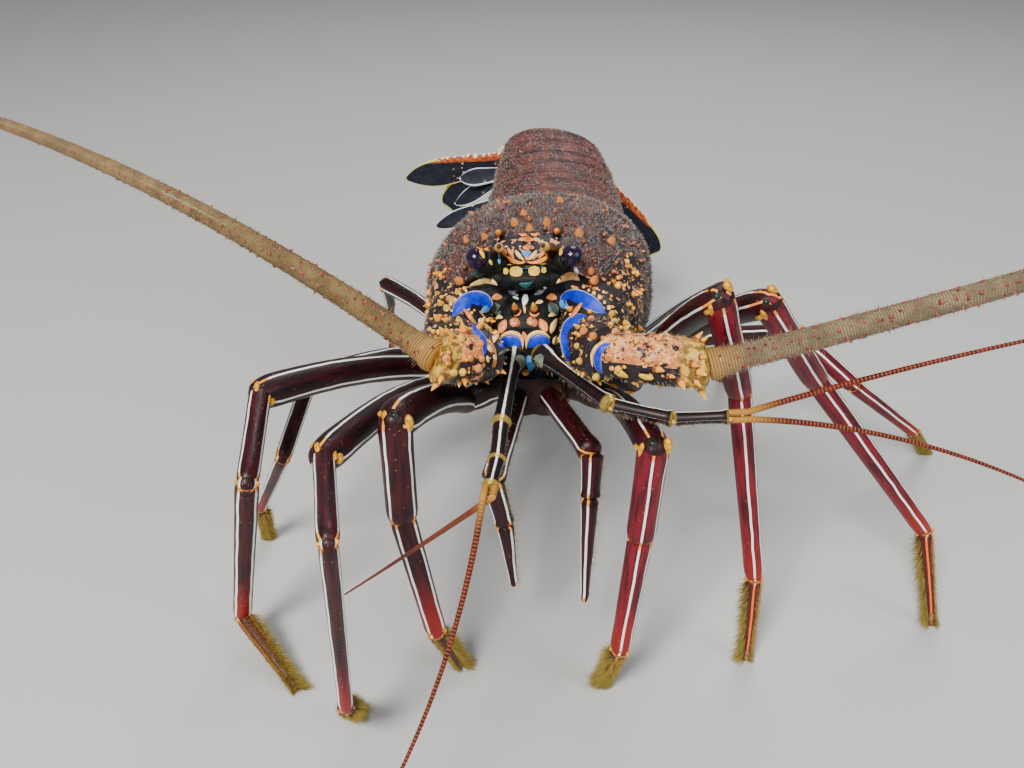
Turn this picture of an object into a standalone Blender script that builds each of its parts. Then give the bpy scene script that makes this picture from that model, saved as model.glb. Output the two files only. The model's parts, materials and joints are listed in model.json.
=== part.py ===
"""A life-size spiny lobster, standing on its ten walking legs with its head towards -Y.

The animal's left side is +X. Lengths in this file are millimetres and angles are degrees,
and the last step scales the meshes to metres. Points called local are in the body's own frame,
with y along the back towards the tail and z up from the underside, before the body is pitched
nose up and set at its height over the floor.
"""
import math
import random

import bmesh
import bpy
from mathutils import Matrix, Vector

# Scale and clearances
METRES = 0.001
GAP = 0.3
SEED = 11

# Stance of the body over the floor
BODY_PITCH = 12.2
BODY_ROLL = 4.0
BODY_HEIGHT = 88.0
BODY_SHIFT = 2.0

# Carapace, local: y station, half width, height of the crown, height of the widest place
CARAPACE_FRONT = -70.0
CARAPACE_REAR = 62.0
CARAPACE_FLOOR = 12.0
CARAPACE_SKIRT = 4.0
CARAPACE_STATIONS = (
    (-70.0, 35.0, 61.0, 36.0),
    (-56.0, 42.5, 69.0, 37.0),
    (-32.0, 47.7, 75.5, 38.0),
    (-5.0, 49.5, 77.5, 40.0),
    (25.0, 48.0, 75.0, 40.0),
    (48.0, 44.0, 70.5, 39.0),
    (62.0, 41.0, 67.0, 38.0),
)
CARAPACE_RINGS = 20
CARAPACE_SIDES = 28
CARAPACE_TOP_POWER = 2.15
CARAPACE_SIDE_POWER = 3.0
CERVICAL_GROOVE_DEPTH = 2.2
CERVICAL_GROOVE_WIDTH = 5.0
CERVICAL_GROOVE_TOP_Y = 2.0
CERVICAL_GROOVE_SWEEP = 26.0
HORN_ROOT = (12.5, -57.0, 61.0)
HORN_BEND = (13.0, -74.0, 71.0)
HORN_TIP = (9.3, -87.0, 69.5)
HORN_RADIUS = 4.2
REAR_HORN_ROOT = (11.6, -50.0)
REAR_HORN_LENGTH = 12.0
REAR_HORN_RADIUS = 3.2

# Spines of the carapace: rows from front to rear, largest in front
SPINE_ROWS = 14
SPINE_FIRST_Y = -63.0
SPINE_LAST_Y = 55.0
SPINES_A_ROW = 9
SPINE_LOWEST_ANGLE = 8.0
SPINE_LENGTHS = (8.5, 3.6)
SPINE_RADII = (2.0, 1.3)
SPINE_JITTER = 1.6
SPINE_LEAN = 0.8

# Sternum, the plate between the legs, local
STERNUM_FRONT_HALF_WIDTH = 12.0
STERNUM_REAR_HALF_WIDTH = 30.0
STERNUM_FRONT = -64.0
STERNUM_REAR = 54.0
STERNUM_SIDE_FLOOR = -3.5
STERNUM_KEEL = -6.5

# Eyes, local
EYE_CENTRE = (18.4, -77.0, 63.5)
EYE_RADIUS = 4.3
EYESTALK_ROOT = (7.5, 55.5)
EYESTALK_RADIUS = 4.6

# Antennular plate between the antennae, local
PLATE_BROW = -77.0
PLATE_FRONT = -84.0
PLATE_TOP = 47.5
PLATE_FLOOR = 23.0
PLATE_HALF_WIDTH = 12.6
PLATE_BROW_HEIGHT = 0.9
PLATE_LIP_HEIGHT = 0.15
PLATE_LIP_WIDTH = 0.85
# Its four spines: x, y, length, radius of one of each pair
PLATE_SPINES = ((4.3, -78.2, 9.0, 1.9), (3.4, -82.0, 6.5, 1.7))
PLATE_SPINE_SINK = 0.8

# Antennae: each peduncle's joints, and how its flagellum turns on its way to the tip
ANTENNA_ROOT = (27.0, 37.0)
ANTENNA_RADII = ((13.2, 14.5), (11.0, 9.8), (9.4, 9.0), (8.2, 8.2))
ANTENNA_JOINTS = {
    "left": ((26.0, -84.0, 141.5), (31.0, -106.0, 150.0), (66.0, -110.0, 150.0)),
    "right": ((-27.0, -84.0, 138.0), (-14.0, -106.0, 146.0), (-26.0, -121.0, 153.0)),
}
ANTENNA_YAW = {"left": (9.0, 16.0), "right": (150.0, 157.0)}
ANTENNA_RISE = {"left": (15.0, 20.0), "right": (16.0, -5.0)}
ANTENNA_LENGTH = 430.0
ANTENNA_BASE_RADIUS = 4.5
ANTENNA_TIP_RADIUS = 0.6
# Peduncle spines: how many rings and spines a ring on each segment, and their size
PEDUNCLE_SPINES = {"base": (2, 4), "middle": (2, 5), "end": (3, 5)}
PEDUNCLE_SPINE_LENGTH = 5.0
PEDUNCLE_SPINE_RADIUS = 1.5

# Antennules: peduncle joints, then the two flagella of each, outer and inner
ANTENNULE_ROOT = (4.8, 27.0)
ANTENNULE_JOINTS = {
    "left": ((34.0, -109.0, 131.0), (56.0, -113.0, 129.5), (75.0, -114.0, 132.5)),
    "right": ((-5.0, -114.0, 123.0), (-4.0, -134.0, 121.0), (-4.0, -150.0, 122.0)),
}
ANTENNULE_RADII = (3.8, 3.2, 2.9, 2.7)
ANTENNULE_FLAGELLA = {
    ("left", "outer"): ((2.0, -2.0), (23.0, 17.0), 140.0),
    ("left", "inner"): ((7.0, -10.0), (-2.0, -28.0), 140.0),
    ("right", "outer"): ((150.0, 149.0), (-48.0, -47.0), 115.0),
    ("right", "inner"): ((-107.0, -122.0), (-69.0, -25.0), 135.0),
}
FLAGELLUM_RADIUS = 1.5
FLAGELLUM_TIP_RADIUS = 0.5

# Third maxillipeds, the pair of small limbs that hang from the mouth
MAXILLIPED_ROOT = (6.2, 3.0)
MAXILLIPED_JOINTS = {
    "left": ((28.0, -102.0, 105.0), (28.0, -108.0, 89.0), (28.0, -114.0, 42.0)),
    "right": ((-10.0, -102.0, 89.0), (-5.0, -104.0, 70.0), (-1.0, -106.0, 40.0)),
}
MAXILLIPED_RADII = (4.6, 4.4, 3.6, 1.4)

# Walking legs: lengths of merus, carpus, propodus and dactyl of each pair
LEG_LENGTHS = {
    1: (75.0, 39.0, 52.0, 30.0),
    2: (102.0, 44.0, 78.0, 38.0),
    3: (103.0, 46.0, 83.0, 42.0),
    4: (87.0, 38.0, 62.0, 31.0),
    5: (66.0, 32.0, 50.0, 27.0),
}
LEG_GIRTH = {1: 1.05, 2: 1.0, 3: 1.0, 4: 0.85, 5: 0.75}
LEG_HIPS = {
    1: (31.0, -50.0, -3.0),
    2: (41.0, -26.0, -3.0),
    3: (46.5, -3.0, -3.0),
    4: (48.0, 20.0, -2.0),
    5: (46.0, 42.0, -2.0),
}
# Each leg's pose: size factor, then (yaw, rise) of merus, carpus and propodus, then dactyl yaw
LEG_POSES = {
    ("left", 1): (1.02, (-77, 18), (-155, -87), (-134, -83), 123),
    ("left", 2): (1.1, (-72, 44), (48, -66), (-20, -79), -67),
    ("left", 3): (1.16, (-66, 39), (38, -51), (8, -52), -35),
    ("left", 4): (1.0, (24, -3), (-31, -30), (27, -39), 42),
    ("left", 5): (1.0, (46, 9), (82, -45), (72, -65), 75),
    ("right", 1): (1.09, (-100, 25), (-65, -88), (-6, -79), 55),
    ("right", 2): (1.15, (-103, 16), (-72, 3), (-66, -100), 104),
    ("right", 3): (1.0, (-130, 15), (-79, -16), (147, -75), -38),
    ("right", 4): (1.0, (-129, 12), (-96, -30), (134, -53), 113),
    ("right", 5): (1.0, (142, 11), (100, -45), (110, -65), 110),
}
MERUS_RADIUS = 5.9
CARPUS_RADIUS = 5.6
PROPODUS_RADIUS = 4.6
DACTYL_RADIUS = 3.0
# Factor on the radii of each side's carpus and propodus
SHIN_SLIMNESS = {"left": 0.95, "right": 0.82}
FOOT_RADIUS = 1.7
MERUS_BOW = 0.05
LEG_SIDES = 8

# Abdomen: length of each segment, then half width, crown height and rise at each joint
SEGMENT_LENGTHS = (14.0, 25.0, 25.0, 25.0, 22.0, 15.0)
ABDOMEN_ROOT_Z = 44.0
ABDOMEN_HALF_WIDTHS = (39.0, 38.5, 37.5, 36.0, 33.0, 29.5, 24.0)
ABDOMEN_CROWNS = (22.0, 22.0, 22.0, 21.5, 20.5, 18.5, 13.5)
ABDOMEN_BELLIES = (17.5, 17.5, 17.5, 17.0, 15.0, 9.0, 7.0)
ABDOMEN_RISES = (-12.2, -4.0, 3.0, 14.0, 19.0, 8.0, -66.0)
ABDOMEN_YAWS = (90.0, 92.5, 94.0, 95.0, 95.5, 97.0, 121.0)
ABDOMEN_ROLLS = (4.0, 3.0, 2.0, 0.0, -4.0, -11.0, 0.0)
TAIL_UP = (88.0, 21.0)
ABDOMEN_SIDES = 24
PLEURON_TOOTH_LENGTH = 12.0
PLEURON_TOOTH_HALF_WIDTH = 7.0
PLEURON_TOOTH_THICKNESS = 1.8
PLEURON_TOOTH_LEAN = 0.45

# Swimming leaves under segments 2 to 5: how far each side hangs and turns its face forward
PLEOPOD_SEGMENTS = (2, 3, 4, 5)
PLEOPOD_LENGTH = 38.0
PLEOPOD_HALF_WIDTHS = (3.5, 7.0)
PLEOPOD_THICKNESS = 1.3
PLEOPOD_DROP = {"left": 55.0, "right": 42.0}
PLEOPOD_TURN = 28.0

# Tail fan
TELSON_LENGTH = 60.0
TELSON_HALF_WIDTHS = (10.0, 17.0)
PROTOPOD_REACH = (11.0, 5.0)
ENDOPOD_LENGTH = 58.0
EXOPOD_LENGTH = 68.0
ENDOPOD_HALF_WIDTHS = (5.0, 13.0)
EXOPOD_HALF_WIDTHS = (5.0, 12.0)
BLADE_THICKNESS = 1.8
BLADE_STEP = 2.4
ENDOPOD_SPREAD = {"left": 20.0, "right": 32.0}
EXOPOD_SPREAD = {"left": 50.0, "right": 63.0}

# Colours as red, green, blue, with roughness
SHELL_BROWN = ((0.17, 0.075, 0.055), 0.75)
LEG_MAROON = ((0.10, 0.012, 0.014), 0.35)
HORN_CREAM = ((0.55, 0.30, 0.12), 0.5)
ANTENNA_OLIVE = ((0.30, 0.22, 0.10), 0.7)
FEELER_RED = ((0.22, 0.06, 0.03), 0.5)
EYE_VIOLET = ((0.02, 0.012, 0.06), 0.08)
STALK_BLACK = ((0.03, 0.028, 0.025), 0.4)
FAN_BLACK = ((0.015, 0.018, 0.03), 0.45)

BODY = (
    Matrix.Translation((BODY_SHIFT, 0.0, BODY_HEIGHT))
    @ Matrix.Rotation(math.radians(-BODY_PITCH), 4, "X")
    @ Matrix.Rotation(math.radians(-BODY_ROLL), 4, "Y")
)
BODY_UP = (BODY.to_3x3() @ Vector((0, 0, 1))).normalized()
BODY_BACK = (BODY.to_3x3() @ Vector((0, 1, 0))).normalized()
SIDES = {"left": 1.0, "right": -1.0}


def place(x, y, z):
    """Carries a local point of the body into the world."""
    return BODY @ Vector((x, y, z))


def heading(yaw, rise):
    """Unit vector at a yaw from +X and a rise over the level."""
    yaw, rise = math.radians(yaw), math.radians(rise)
    return Vector((math.cos(yaw) * math.cos(rise), math.sin(yaw) * math.cos(rise), math.sin(rise)))


def turning_path(start, yaws, rises, length, steps):
    """Points along a path whose yaw and rise turn evenly from start to end."""
    points = [Vector(start)]
    for index in range(steps):
        share = (index + 0.5) / steps
        yaw = yaws[0] + (yaws[1] - yaws[0]) * share
        rise = rises[0] + (rises[1] - rises[0]) * share
        points.append(points[-1] + heading(yaw, rise) * (length / steps))
    return points


def smooth_lookup(stations, position):
    """Catmull-Rom reading of a short table of stations."""
    last = len(stations) - 1
    index = 0
    while index < last - 1 and position > stations[index + 1][0]:
        index += 1
    before = stations[max(index - 1, 0)]
    here = stations[index]
    there = stations[index + 1]
    after = stations[min(index + 2, last)]
    t = (position - here[0]) / (there[0] - here[0])
    values = []
    for a, b, c, d in zip(before[1:], here[1:], there[1:], after[1:]):
        slope_in = (c - a) / 2.0
        slope_out = (d - b) / 2.0
        values.append(
            b * (2 * t**3 - 3 * t**2 + 1)
            + c * (3 * t**2 - 2 * t**3)
            + slope_in * (t**3 - 2 * t**2 + t)
            + slope_out * (t**3 - t**2)
        )
    return values


def power_curve(value, power):
    """Signed power, which squares off an ellipse."""
    return math.copysign(abs(value) ** (2.0 / power), value)


def ring(centre, along, up, half_wide, crown, sides, belly=None, powers=(2.0, 2.0), plane=None):
    """Closed section across a path. With a plane, its points slide along the path onto it."""
    belly = crown if belly is None else belly
    side = along.cross(up).normalized()
    top = side.cross(along).normalized()
    points = []
    for index in range(sides):
        angle = 2.0 * math.pi * (index + 0.5) / sides
        rise = math.sin(angle)
        power, height = (powers[0], crown) if rise > 0 else (powers[1], belly)
        offset = side * half_wide * power_curve(math.cos(angle), power)
        offset += top * height * power_curve(rise, power)
        if plane is not None:
            offset -= along * (offset.dot(plane) / along.dot(plane))
        points.append(centre + offset)
    return points


def loft(rings):
    """Closed mesh through rings of equal count, flat at both ends."""
    shape = bmesh.new()
    rows = [[shape.verts.new(point) for point in points] for points in rings]
    count = len(rows[0])
    for row, following in zip(rows, rows[1:]):
        for index in range(count):
            after = (index + 1) % count
            shape.faces.new((row[index], row[after], following[after]))
            shape.faces.new((row[index], following[after], following[index]))
    shape.faces.new(list(reversed(rows[0])))
    shape.faces.new(rows[-1])
    bmesh.ops.triangulate(shape, faces=[face for face in shape.faces if len(face.verts) > 3])
    bmesh.ops.recalc_face_normals(shape, faces=shape.faces[:])
    return shape


def tube(points, radii, sides, up=Vector((0, 0, 1)), planes=(None, None)):
    """Tube through points. A radius is one number or a (half wide, half high) pair."""
    rings = []
    last = len(points) - 1
    for index, (point, radius) in enumerate(zip(points, radii)):
        before = points[max(index - 1, 0)]
        after = points[min(index + 1, last)]
        along = (after - before).normalized()
        if 0 < index < last:
            along = ((point - before).normalized() + (after - point).normalized()).normalized()
        wide, high = radius if isinstance(radius, tuple) else (radius, radius)
        plane = planes[0] if index == 0 else planes[1] if index == last else None
        rings.append(ring(point, along, up, wide, high, sides, plane=plane))
    return loft(rings)


def spine(root, aim, length, radius, sides=4):
    """Tapered spine on a surface point, with its root sunk in."""
    aim = aim.normalized()
    across = aim.orthogonal().normalized()
    start = root - aim * (radius * 0.9 + 0.6)
    shape = bmesh.new()
    rows = []
    for share, width in ((0.0, 1.0), (0.5, 0.66)):
        centre = start.lerp(root + aim * length, share)
        row = []
        for index in range(sides):
            turn = Matrix.Rotation(2.0 * math.pi * index / sides, 3, aim)
            row.append(shape.verts.new(centre + turn @ across * (radius * width)))
        rows.append(row)
    tip = shape.verts.new(root + aim * length)
    for index in range(sides):
        after = (index + 1) % sides
        shape.faces.new((rows[0][index], rows[0][after], rows[1][after], rows[1][index]))
        shape.faces.new((rows[1][index], rows[1][after], tip))
    shape.faces.new(list(reversed(rows[0])))
    bmesh.ops.recalc_face_normals(shape, faces=shape.faces[:])
    return shape


def blade(root, aim, normal, length, half_widths, thickness, steps=6):
    """Flat rounded blade, such as a lobe of the tail fan."""
    across = aim.cross(normal).normalized()
    normal = across.cross(aim).normalized()
    rings = []
    for index in range(steps + 1):
        share = index / steps
        half = half_widths[0] + (half_widths[1] - half_widths[0]) * math.sin(share * math.pi / 2)
        half *= math.sqrt(max(1.0 - max(share - 0.55, 0.0) ** 2 / 0.2125, 0.12))
        centre = root + aim * (length * (1.0 - (1.0 - share) ** 1.15))
        rings.append([
            centre + across * half + normal * thickness / 2,
            centre - across * half + normal * thickness / 2,
            centre - across * half - normal * thickness / 2,
            centre + across * half - normal * thickness / 2,
        ])
    return loft(rings)


def material(name, look):
    """Plain Principled material."""
    (red, green, blue), roughness = look
    finish = bpy.data.materials.new(name)
    finish.use_nodes = True
    shader = finish.node_tree.nodes["Principled BSDF"]
    shader.inputs["Base Color"].default_value = (red, green, blue, 1.0)
    shader.inputs["Roughness"].default_value = roughness
    shader.inputs["Metallic"].default_value = 0.0
    return finish


def mesh_object(name, shape, holder):
    """Object that holds a finished shape."""
    mesh = bpy.data.meshes.new(name)
    shape.to_mesh(mesh)
    shape.free()
    thing = bpy.data.objects.new(name, mesh)
    holder.objects.link(thing)
    return thing


def keep_largest(mesh):
    """Keeps only the largest closed surface of a mesh."""
    shape = bmesh.new()
    shape.from_mesh(mesh)
    unseen = set(shape.faces)
    groups = []
    while unseen:
        stack = [unseen.pop()]
        group = list(stack)
        while stack:
            for edge in stack.pop().edges:
                for face in edge.link_faces:
                    if face in unseen:
                        unseen.remove(face)
                        stack.append(face)
                        group.append(face)
        groups.append(group)
    groups.sort(key=len)
    scraps = [face for group in groups[:-1] for face in group]
    bmesh.ops.delete(shape, geom=scraps, context="FACES")
    bmesh.ops.triangulate(shape, faces=shape.faces[:])
    shape.to_mesh(mesh)
    shape.free()


def node(name, look, core, extras=()):
    """One named sub-part: a core, with its spines or blades fused on by a Boolean union."""
    scene = bpy.context.scene
    thing = mesh_object(name, core, scene.collection)
    if extras:
        bunch = bpy.data.collections.new(name + "_extras")
        scene.collection.children.link(bunch)
        for extra in extras:
            mesh_object(name + "_extra", extra, bunch)
        union = thing.modifiers.new("fuse", "BOOLEAN")
        union.operation = "UNION"
        union.operand_type = "COLLECTION"
        union.collection = bunch
        union.solver = "EXACT"
        graph = bpy.context.evaluated_depsgraph_get()
        fused = bpy.data.meshes.new_from_object(thing.evaluated_get(graph))
        thing.modifiers.clear()
        thing.data = fused
        fused.name = name
        for extra in list(bunch.objects):
            bpy.data.objects.remove(extra)
        bpy.data.collections.remove(bunch)
    keep_largest(thing.data)
    thing.data.materials.clear()
    thing.data.materials.append(material(name + "_finish", look))
    return thing


def carapace_point(y, angle):
    """Local point of the carapace's outside at a station and an angle round its section."""
    half_wide, crown, widest = smooth_lookup(CARAPACE_STATIONS, y)
    rise = math.sin(angle)
    fall = CERVICAL_GROOVE_TOP_Y - CERVICAL_GROOVE_SWEEP * (1.0 - max(rise, 0.0))
    groove = CERVICAL_GROOVE_DEPTH * math.exp(-(((y - fall) / CERVICAL_GROOVE_WIDTH) ** 2))
    if rise > 0:
        x = (half_wide - groove) * power_curve(math.cos(angle), CARAPACE_TOP_POWER)
        z = widest + (crown - widest - groove) * power_curve(rise, CARAPACE_TOP_POWER)
    else:
        x = half_wide * power_curve(math.cos(angle), CARAPACE_SIDE_POWER)
        z = widest + (widest - CARAPACE_FLOOR + CARAPACE_SKIRT) * power_curve(rise, CARAPACE_SIDE_POWER)
    return Vector((x, y, max(z, CARAPACE_FLOOR)))


def horn(side):
    """Large horn over an eye, curved forward, in world points."""
    sign = SIDES[side]
    knots = [Vector((sign * x, y, z)) for x, y, z in (HORN_ROOT, HORN_BEND, HORN_TIP)]
    points = []
    for share in (0.0, 0.35, 0.7, 0.98):
        first = knots[0].lerp(knots[1], share)
        second = knots[1].lerp(knots[2], share)
        points.append(place(*first.lerp(second, share)))
    radii = [HORN_RADIUS * size for size in (1.0, 0.86, 0.55, 0.08)]
    return tube(points, radii, 7)


def surface_frame(y, angle):
    """World point, outward normal and forward direction on the carapace."""
    step = 0.5
    here = place(*carapace_point(y, angle))
    ahead = place(*carapace_point(y - step, angle))
    beside = place(*carapace_point(y, angle + math.radians(step)))
    forward = (ahead - here).normalized()
    normal = (beside - here).cross(forward).normalized()
    centre = place(0.0, y, CARAPACE_STATIONS[0][3])
    if normal.dot(here - centre) < 0:
        normal = -normal
    return here, normal, forward


def carapace_spines():
    """Staggered rows of spines that lean forward, larger and closer towards the head."""
    spines = []
    for row in range(SPINE_ROWS):
        share = row / (SPINE_ROWS - 1)
        y = SPINE_FIRST_Y + (SPINE_LAST_Y - SPINE_FIRST_Y) * share
        length = SPINE_LENGTHS[0] + (SPINE_LENGTHS[1] - SPINE_LENGTHS[0]) * share**0.7
        radius = SPINE_RADII[0] + (SPINE_RADII[1] - SPINE_RADII[0]) * share
        count = SPINES_A_ROW - row % 2
        for index in range(count):
            spread = (index + 0.5) / count
            angle = math.radians(SPINE_LOWEST_ANGLE + (180.0 - 2 * SPINE_LOWEST_ANGLE) * spread)
            station = y + random.uniform(-SPINE_JITTER, SPINE_JITTER)
            root, normal, forward = surface_frame(station, angle + random.uniform(-0.04, 0.04))
            size = random.uniform(0.8, 1.15)
            spines.append(spine(root, normal + forward * SPINE_LEAN, length * size, radius))
    return spines


def rear_horn(side):
    """Second, straight horn behind the first."""
    x, y = REAR_HORN_ROOT
    half_wide = smooth_lookup(CARAPACE_STATIONS, y)[0]
    angle = math.acos(SIDES[side] * (x / half_wide) ** (CARAPACE_TOP_POWER / 2))
    root, normal, forward = surface_frame(y, angle)
    return spine(root, normal * 0.5 + forward, REAR_HORN_LENGTH, REAR_HORN_RADIUS, sides=6)


def make_carapace():
    """Arched shield over head and thorax, with its spines and its two pairs of horns."""
    rings = []
    for index in range(CARAPACE_RINGS + 1):
        y = CARAPACE_FRONT + (CARAPACE_REAR - CARAPACE_FRONT) * index / CARAPACE_RINGS
        angles = [2.0 * math.pi * (k + 0.5) / CARAPACE_SIDES for k in range(CARAPACE_SIDES)]
        rings.append([place(*carapace_point(y, angle)) for angle in angles])
    extras = carapace_spines()
    for side in SIDES:
        extras += [horn(side), rear_horn(side)]
    node("carapace", SHELL_BROWN, loft(rings), extras)


def sternum_half_width(y):
    """Half width of the sternum at a local station."""
    share = (y - STERNUM_FRONT) / (STERNUM_REAR - STERNUM_FRONT)
    return STERNUM_FRONT_HALF_WIDTH + (STERNUM_REAR_HALF_WIDTH - STERNUM_FRONT_HALF_WIDTH) * share


def make_sternum():
    """Wedge-shaped plate under the carapace, which the legs grow from."""
    rings = []
    for y in (STERNUM_FRONT, STERNUM_REAR):
        half = sternum_half_width(y)
        outline = (
            (half, CARAPACE_FLOOR - GAP),
            (-half, CARAPACE_FLOOR - GAP),
            (-half, STERNUM_SIDE_FLOOR),
            (-half * 0.6, STERNUM_KEEL),
            (half * 0.6, STERNUM_KEEL),
            (half, STERNUM_SIDE_FLOOR),
        )
        rings.append([place(x, y, z) for x, z in outline])
    node("sternum", SHELL_BROWN, loft(rings))


def make_eye(side):
    """Stalk from the front of the carapace, and the ball that sits on it."""
    sign = SIDES[side]
    x, z = EYESTALK_ROOT
    root = place(sign * x, CARAPACE_FRONT - GAP, z)
    centre = place(sign * EYE_CENTRE[0], EYE_CENTRE[1], EYE_CENTRE[2])
    aim = (centre - root).normalized()
    seat = centre - aim * EYE_RADIUS * 0.72
    stalk = loft([
        ring(root, -BODY_BACK, BODY_UP, EYESTALK_RADIUS, EYESTALK_RADIUS, 10),
        ring(root.lerp(seat, 0.6), (aim - BODY_BACK * 0.8).normalized(), BODY_UP, EYESTALK_RADIUS * 0.88,
             EYESTALK_RADIUS * 0.88, 10),
        ring(seat - aim * GAP, aim, BODY_UP, EYESTALK_RADIUS * 0.78, EYESTALK_RADIUS * 0.78, 10),
    ])
    node("eyestalk_" + side, STALK_BLACK, stalk)
    rings = []
    for share in (-0.72, -0.3, 0.15, 0.55, 0.85, 0.985):
        radius = EYE_RADIUS * math.sqrt(1.0 - share**2)
        rings.append(ring(centre + aim * EYE_RADIUS * share, aim, BODY_UP, radius, radius, 12))
    node("eye_" + side, EYE_VIOLET, loft(rings))


def make_antennular_plate():
    """Block between the antennae that carries the antennules."""
    middle = (PLATE_TOP + PLATE_FLOOR) / 2
    half_high = (PLATE_TOP - PLATE_FLOOR) / 2
    rings = []
    for y, width, top in (
        (CARAPACE_FRONT - GAP, 1.0, 1.0),
        (PLATE_BROW, 1.0, PLATE_BROW_HEIGHT),
        (PLATE_FRONT, PLATE_LIP_WIDTH, PLATE_LIP_HEIGHT),
    ):
        rings.append(ring(
            place(0.0, y, middle), -BODY_BACK, BODY_UP, PLATE_HALF_WIDTH * width,
            half_high * top, 16, belly=half_high, powers=(2.6, 2.6),
        ))
    spines = []
    for x, y, length, radius in PLATE_SPINES:
        slope = (y - PLATE_BROW) / (PLATE_FRONT - PLATE_BROW)
        top = middle + half_high * (PLATE_BROW_HEIGHT + (PLATE_LIP_HEIGHT - PLATE_BROW_HEIGHT) * slope)
        for sign in SIDES.values():
            root = place(sign * x, y, top - PLATE_SPINE_SINK)
            spines.append(spine(root, BODY_UP * 0.9 - BODY_BACK, length, radius, sides=5))
    node("antennular_plate", STALK_BLACK, loft(rings), spines)


def joint_plane(before, joint, after):
    """Plane that halves the bend at a joint."""
    return ((joint - before).normalized() + (after - joint).normalized()).normalized()


def peduncle_spines(start, end, sizes, planes, part, sign):
    """Rings of forward-leaning spines round a peduncle segment, clear of what it joins."""
    rings, count = PEDUNCLE_SPINES[part]
    near, far = sizes
    aim = (end - start).normalized()
    side = aim.cross(BODY_UP).normalized()
    top = side.cross(aim)
    spines = []
    for row in range(rings):
        share = (row + 0.6) / (rings + 0.9)
        wide = near[0] + (far[0] - near[0]) * share
        high = near[1] + (far[1] - near[1]) * share
        for index in range(count):
            angle = math.radians(-15.0 + 210.0 * (index + 0.5 * (row % 2)) / count)
            outward = side * math.cos(angle) * wide + top * math.sin(angle) * high
            root = start.lerp(end, share) + outward * 0.97
            lean = (outward.normalized() + aim * 0.7).normalized()
            length = PEDUNCLE_SPINE_LENGTH * random.uniform(0.8, 1.1)
            past_start = (root - start).dot(planes[0]) > PEDUNCLE_SPINE_RADIUS * 2
            before_end = (root + lean * length - end).dot(planes[1]) < -GAP * 2
            outside = part != "base" or outward.x * sign > 0
            if past_start and before_end and outside:
                spines.append(spine(root, lean, length, PEDUNCLE_SPINE_RADIUS))
    return spines


def make_antenna(side):
    """Three peduncle segments and the long flagellum in three lengths."""
    sign = SIDES[side]
    x, z = ANTENNA_ROOT
    path = turning_path(
        ANTENNA_JOINTS[side][2], ANTENNA_YAW[side], ANTENNA_RISE[side], ANTENNA_LENGTH, 27
    )
    joints = [place(sign * x, CARAPACE_FRONT - GAP, z)]
    joints += [Vector(point) for point in ANTENNA_JOINTS[side]]
    planes = [-BODY_BACK]
    for index in (1, 2, 3):
        after = joints[index + 1] if index < 3 else path[1]
        planes.append(joint_plane(joints[index - 1], joints[index], after))
    for index, part in enumerate(("base", "middle", "end")):
        start, end = joints[index], joints[index + 1]
        aim = (end - start).normalized()
        start_gap = GAP / 2 if index else 0.0
        (wide_a, high_a), (wide_b, high_b) = ANTENNA_RADII[index], ANTENNA_RADII[index + 1]
        points = [start + aim * start_gap, start.lerp(end, 0.5), end - aim * GAP / 2]
        swollen = (wide_a * 0.56 + wide_b * 0.5, high_a * 0.56 + high_b * 0.5)
        radii = [(wide_a, high_a), swollen, (wide_b, high_b)]
        core = tube(points, radii, 12, up=BODY_UP, planes=(planes[index], planes[index + 1]))
        spines = peduncle_spines(
            start, end, ANTENNA_RADII[index:index + 2], planes[index:index + 2], part, sign
        )
        node("antenna_%s_%s" % (side, part), HORN_CREAM, core, spines)
    radii = []
    for index in range(len(path)):
        share = index / (len(path) - 1)
        taper = ANTENNA_BASE_RADIUS * (1.0 - share) ** 0.85
        radii.append(taper + ANTENNA_TIP_RADIUS * share)
    for index, part in enumerate(("inner", "middle", "outer")):
        first = index * 9
        points = list(path[first:first + 10])
        sizes = radii[first:first + 10]
        cut = planes[3] if index == 0 else (path[first + 1] - path[first - 1]).normalized()
        finish = None
        if index < 2:
            finish = (path[first + 10] - path[first + 8]).normalized()
            points[-1] = points[-1] - finish * GAP / 2
        points[0] = points[0] + (points[1] - points[0]).normalized() * GAP / 2
        core = tube(points, sizes, 8, planes=(cut, finish))
        node("antenna_%s_flagellum_%s" % (side, part), ANTENNA_OLIVE, core)


def make_antennule(side):
    """Slender three-jointed peduncle with two fine flagella."""
    sign = SIDES[side]
    x, z = ANTENNULE_ROOT
    joints = [place(sign * x, PLATE_FRONT - GAP, z)]
    joints += [Vector(point) for point in ANTENNULE_JOINTS[side]]
    points = []
    radii = []
    for index in range(3):
        start, end = joints[index], joints[index + 1]
        for share, swell in ((0.0, 1.0), (0.15, 1.0), (0.85, 0.9)):
            points.append(start.lerp(end, share))
            radii.append(ANTENNULE_RADII[index] * swell)
    aim = (joints[3] - joints[2]).normalized()
    points.append(joints[3])
    radii.append(ANTENNULE_RADII[3])
    core = tube(points, radii, 8, planes=(BODY_BACK, aim))
    node("antennule_%s_peduncle" % side, FEELER_RED, core)
    across = aim.cross(Vector((0, 0, 1))).normalized()
    if side == "left":
        across = -across.cross(aim).normalized()
    for branch, offset in (("outer", -1.0), ("inner", 1.0)):
        yaws, rises, length = ANTENNULE_FLAGELLA[(side, branch)]
        start = joints[3] + aim * GAP + across * offset * (FLAGELLUM_RADIUS + GAP)
        path = [start, start + aim * 2.5] + turning_path(start + aim * 6.0, yaws, rises, length, 12)
        last = len(path) - 1
        taper = FLAGELLUM_TIP_RADIUS - FLAGELLUM_RADIUS
        radii = [FLAGELLUM_RADIUS + taper * step / last for step in range(last + 1)]
        core = tube(path, radii, 6, planes=(aim, None))
        node("antennule_%s_%s" % (side, branch), FEELER_RED, core)


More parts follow.
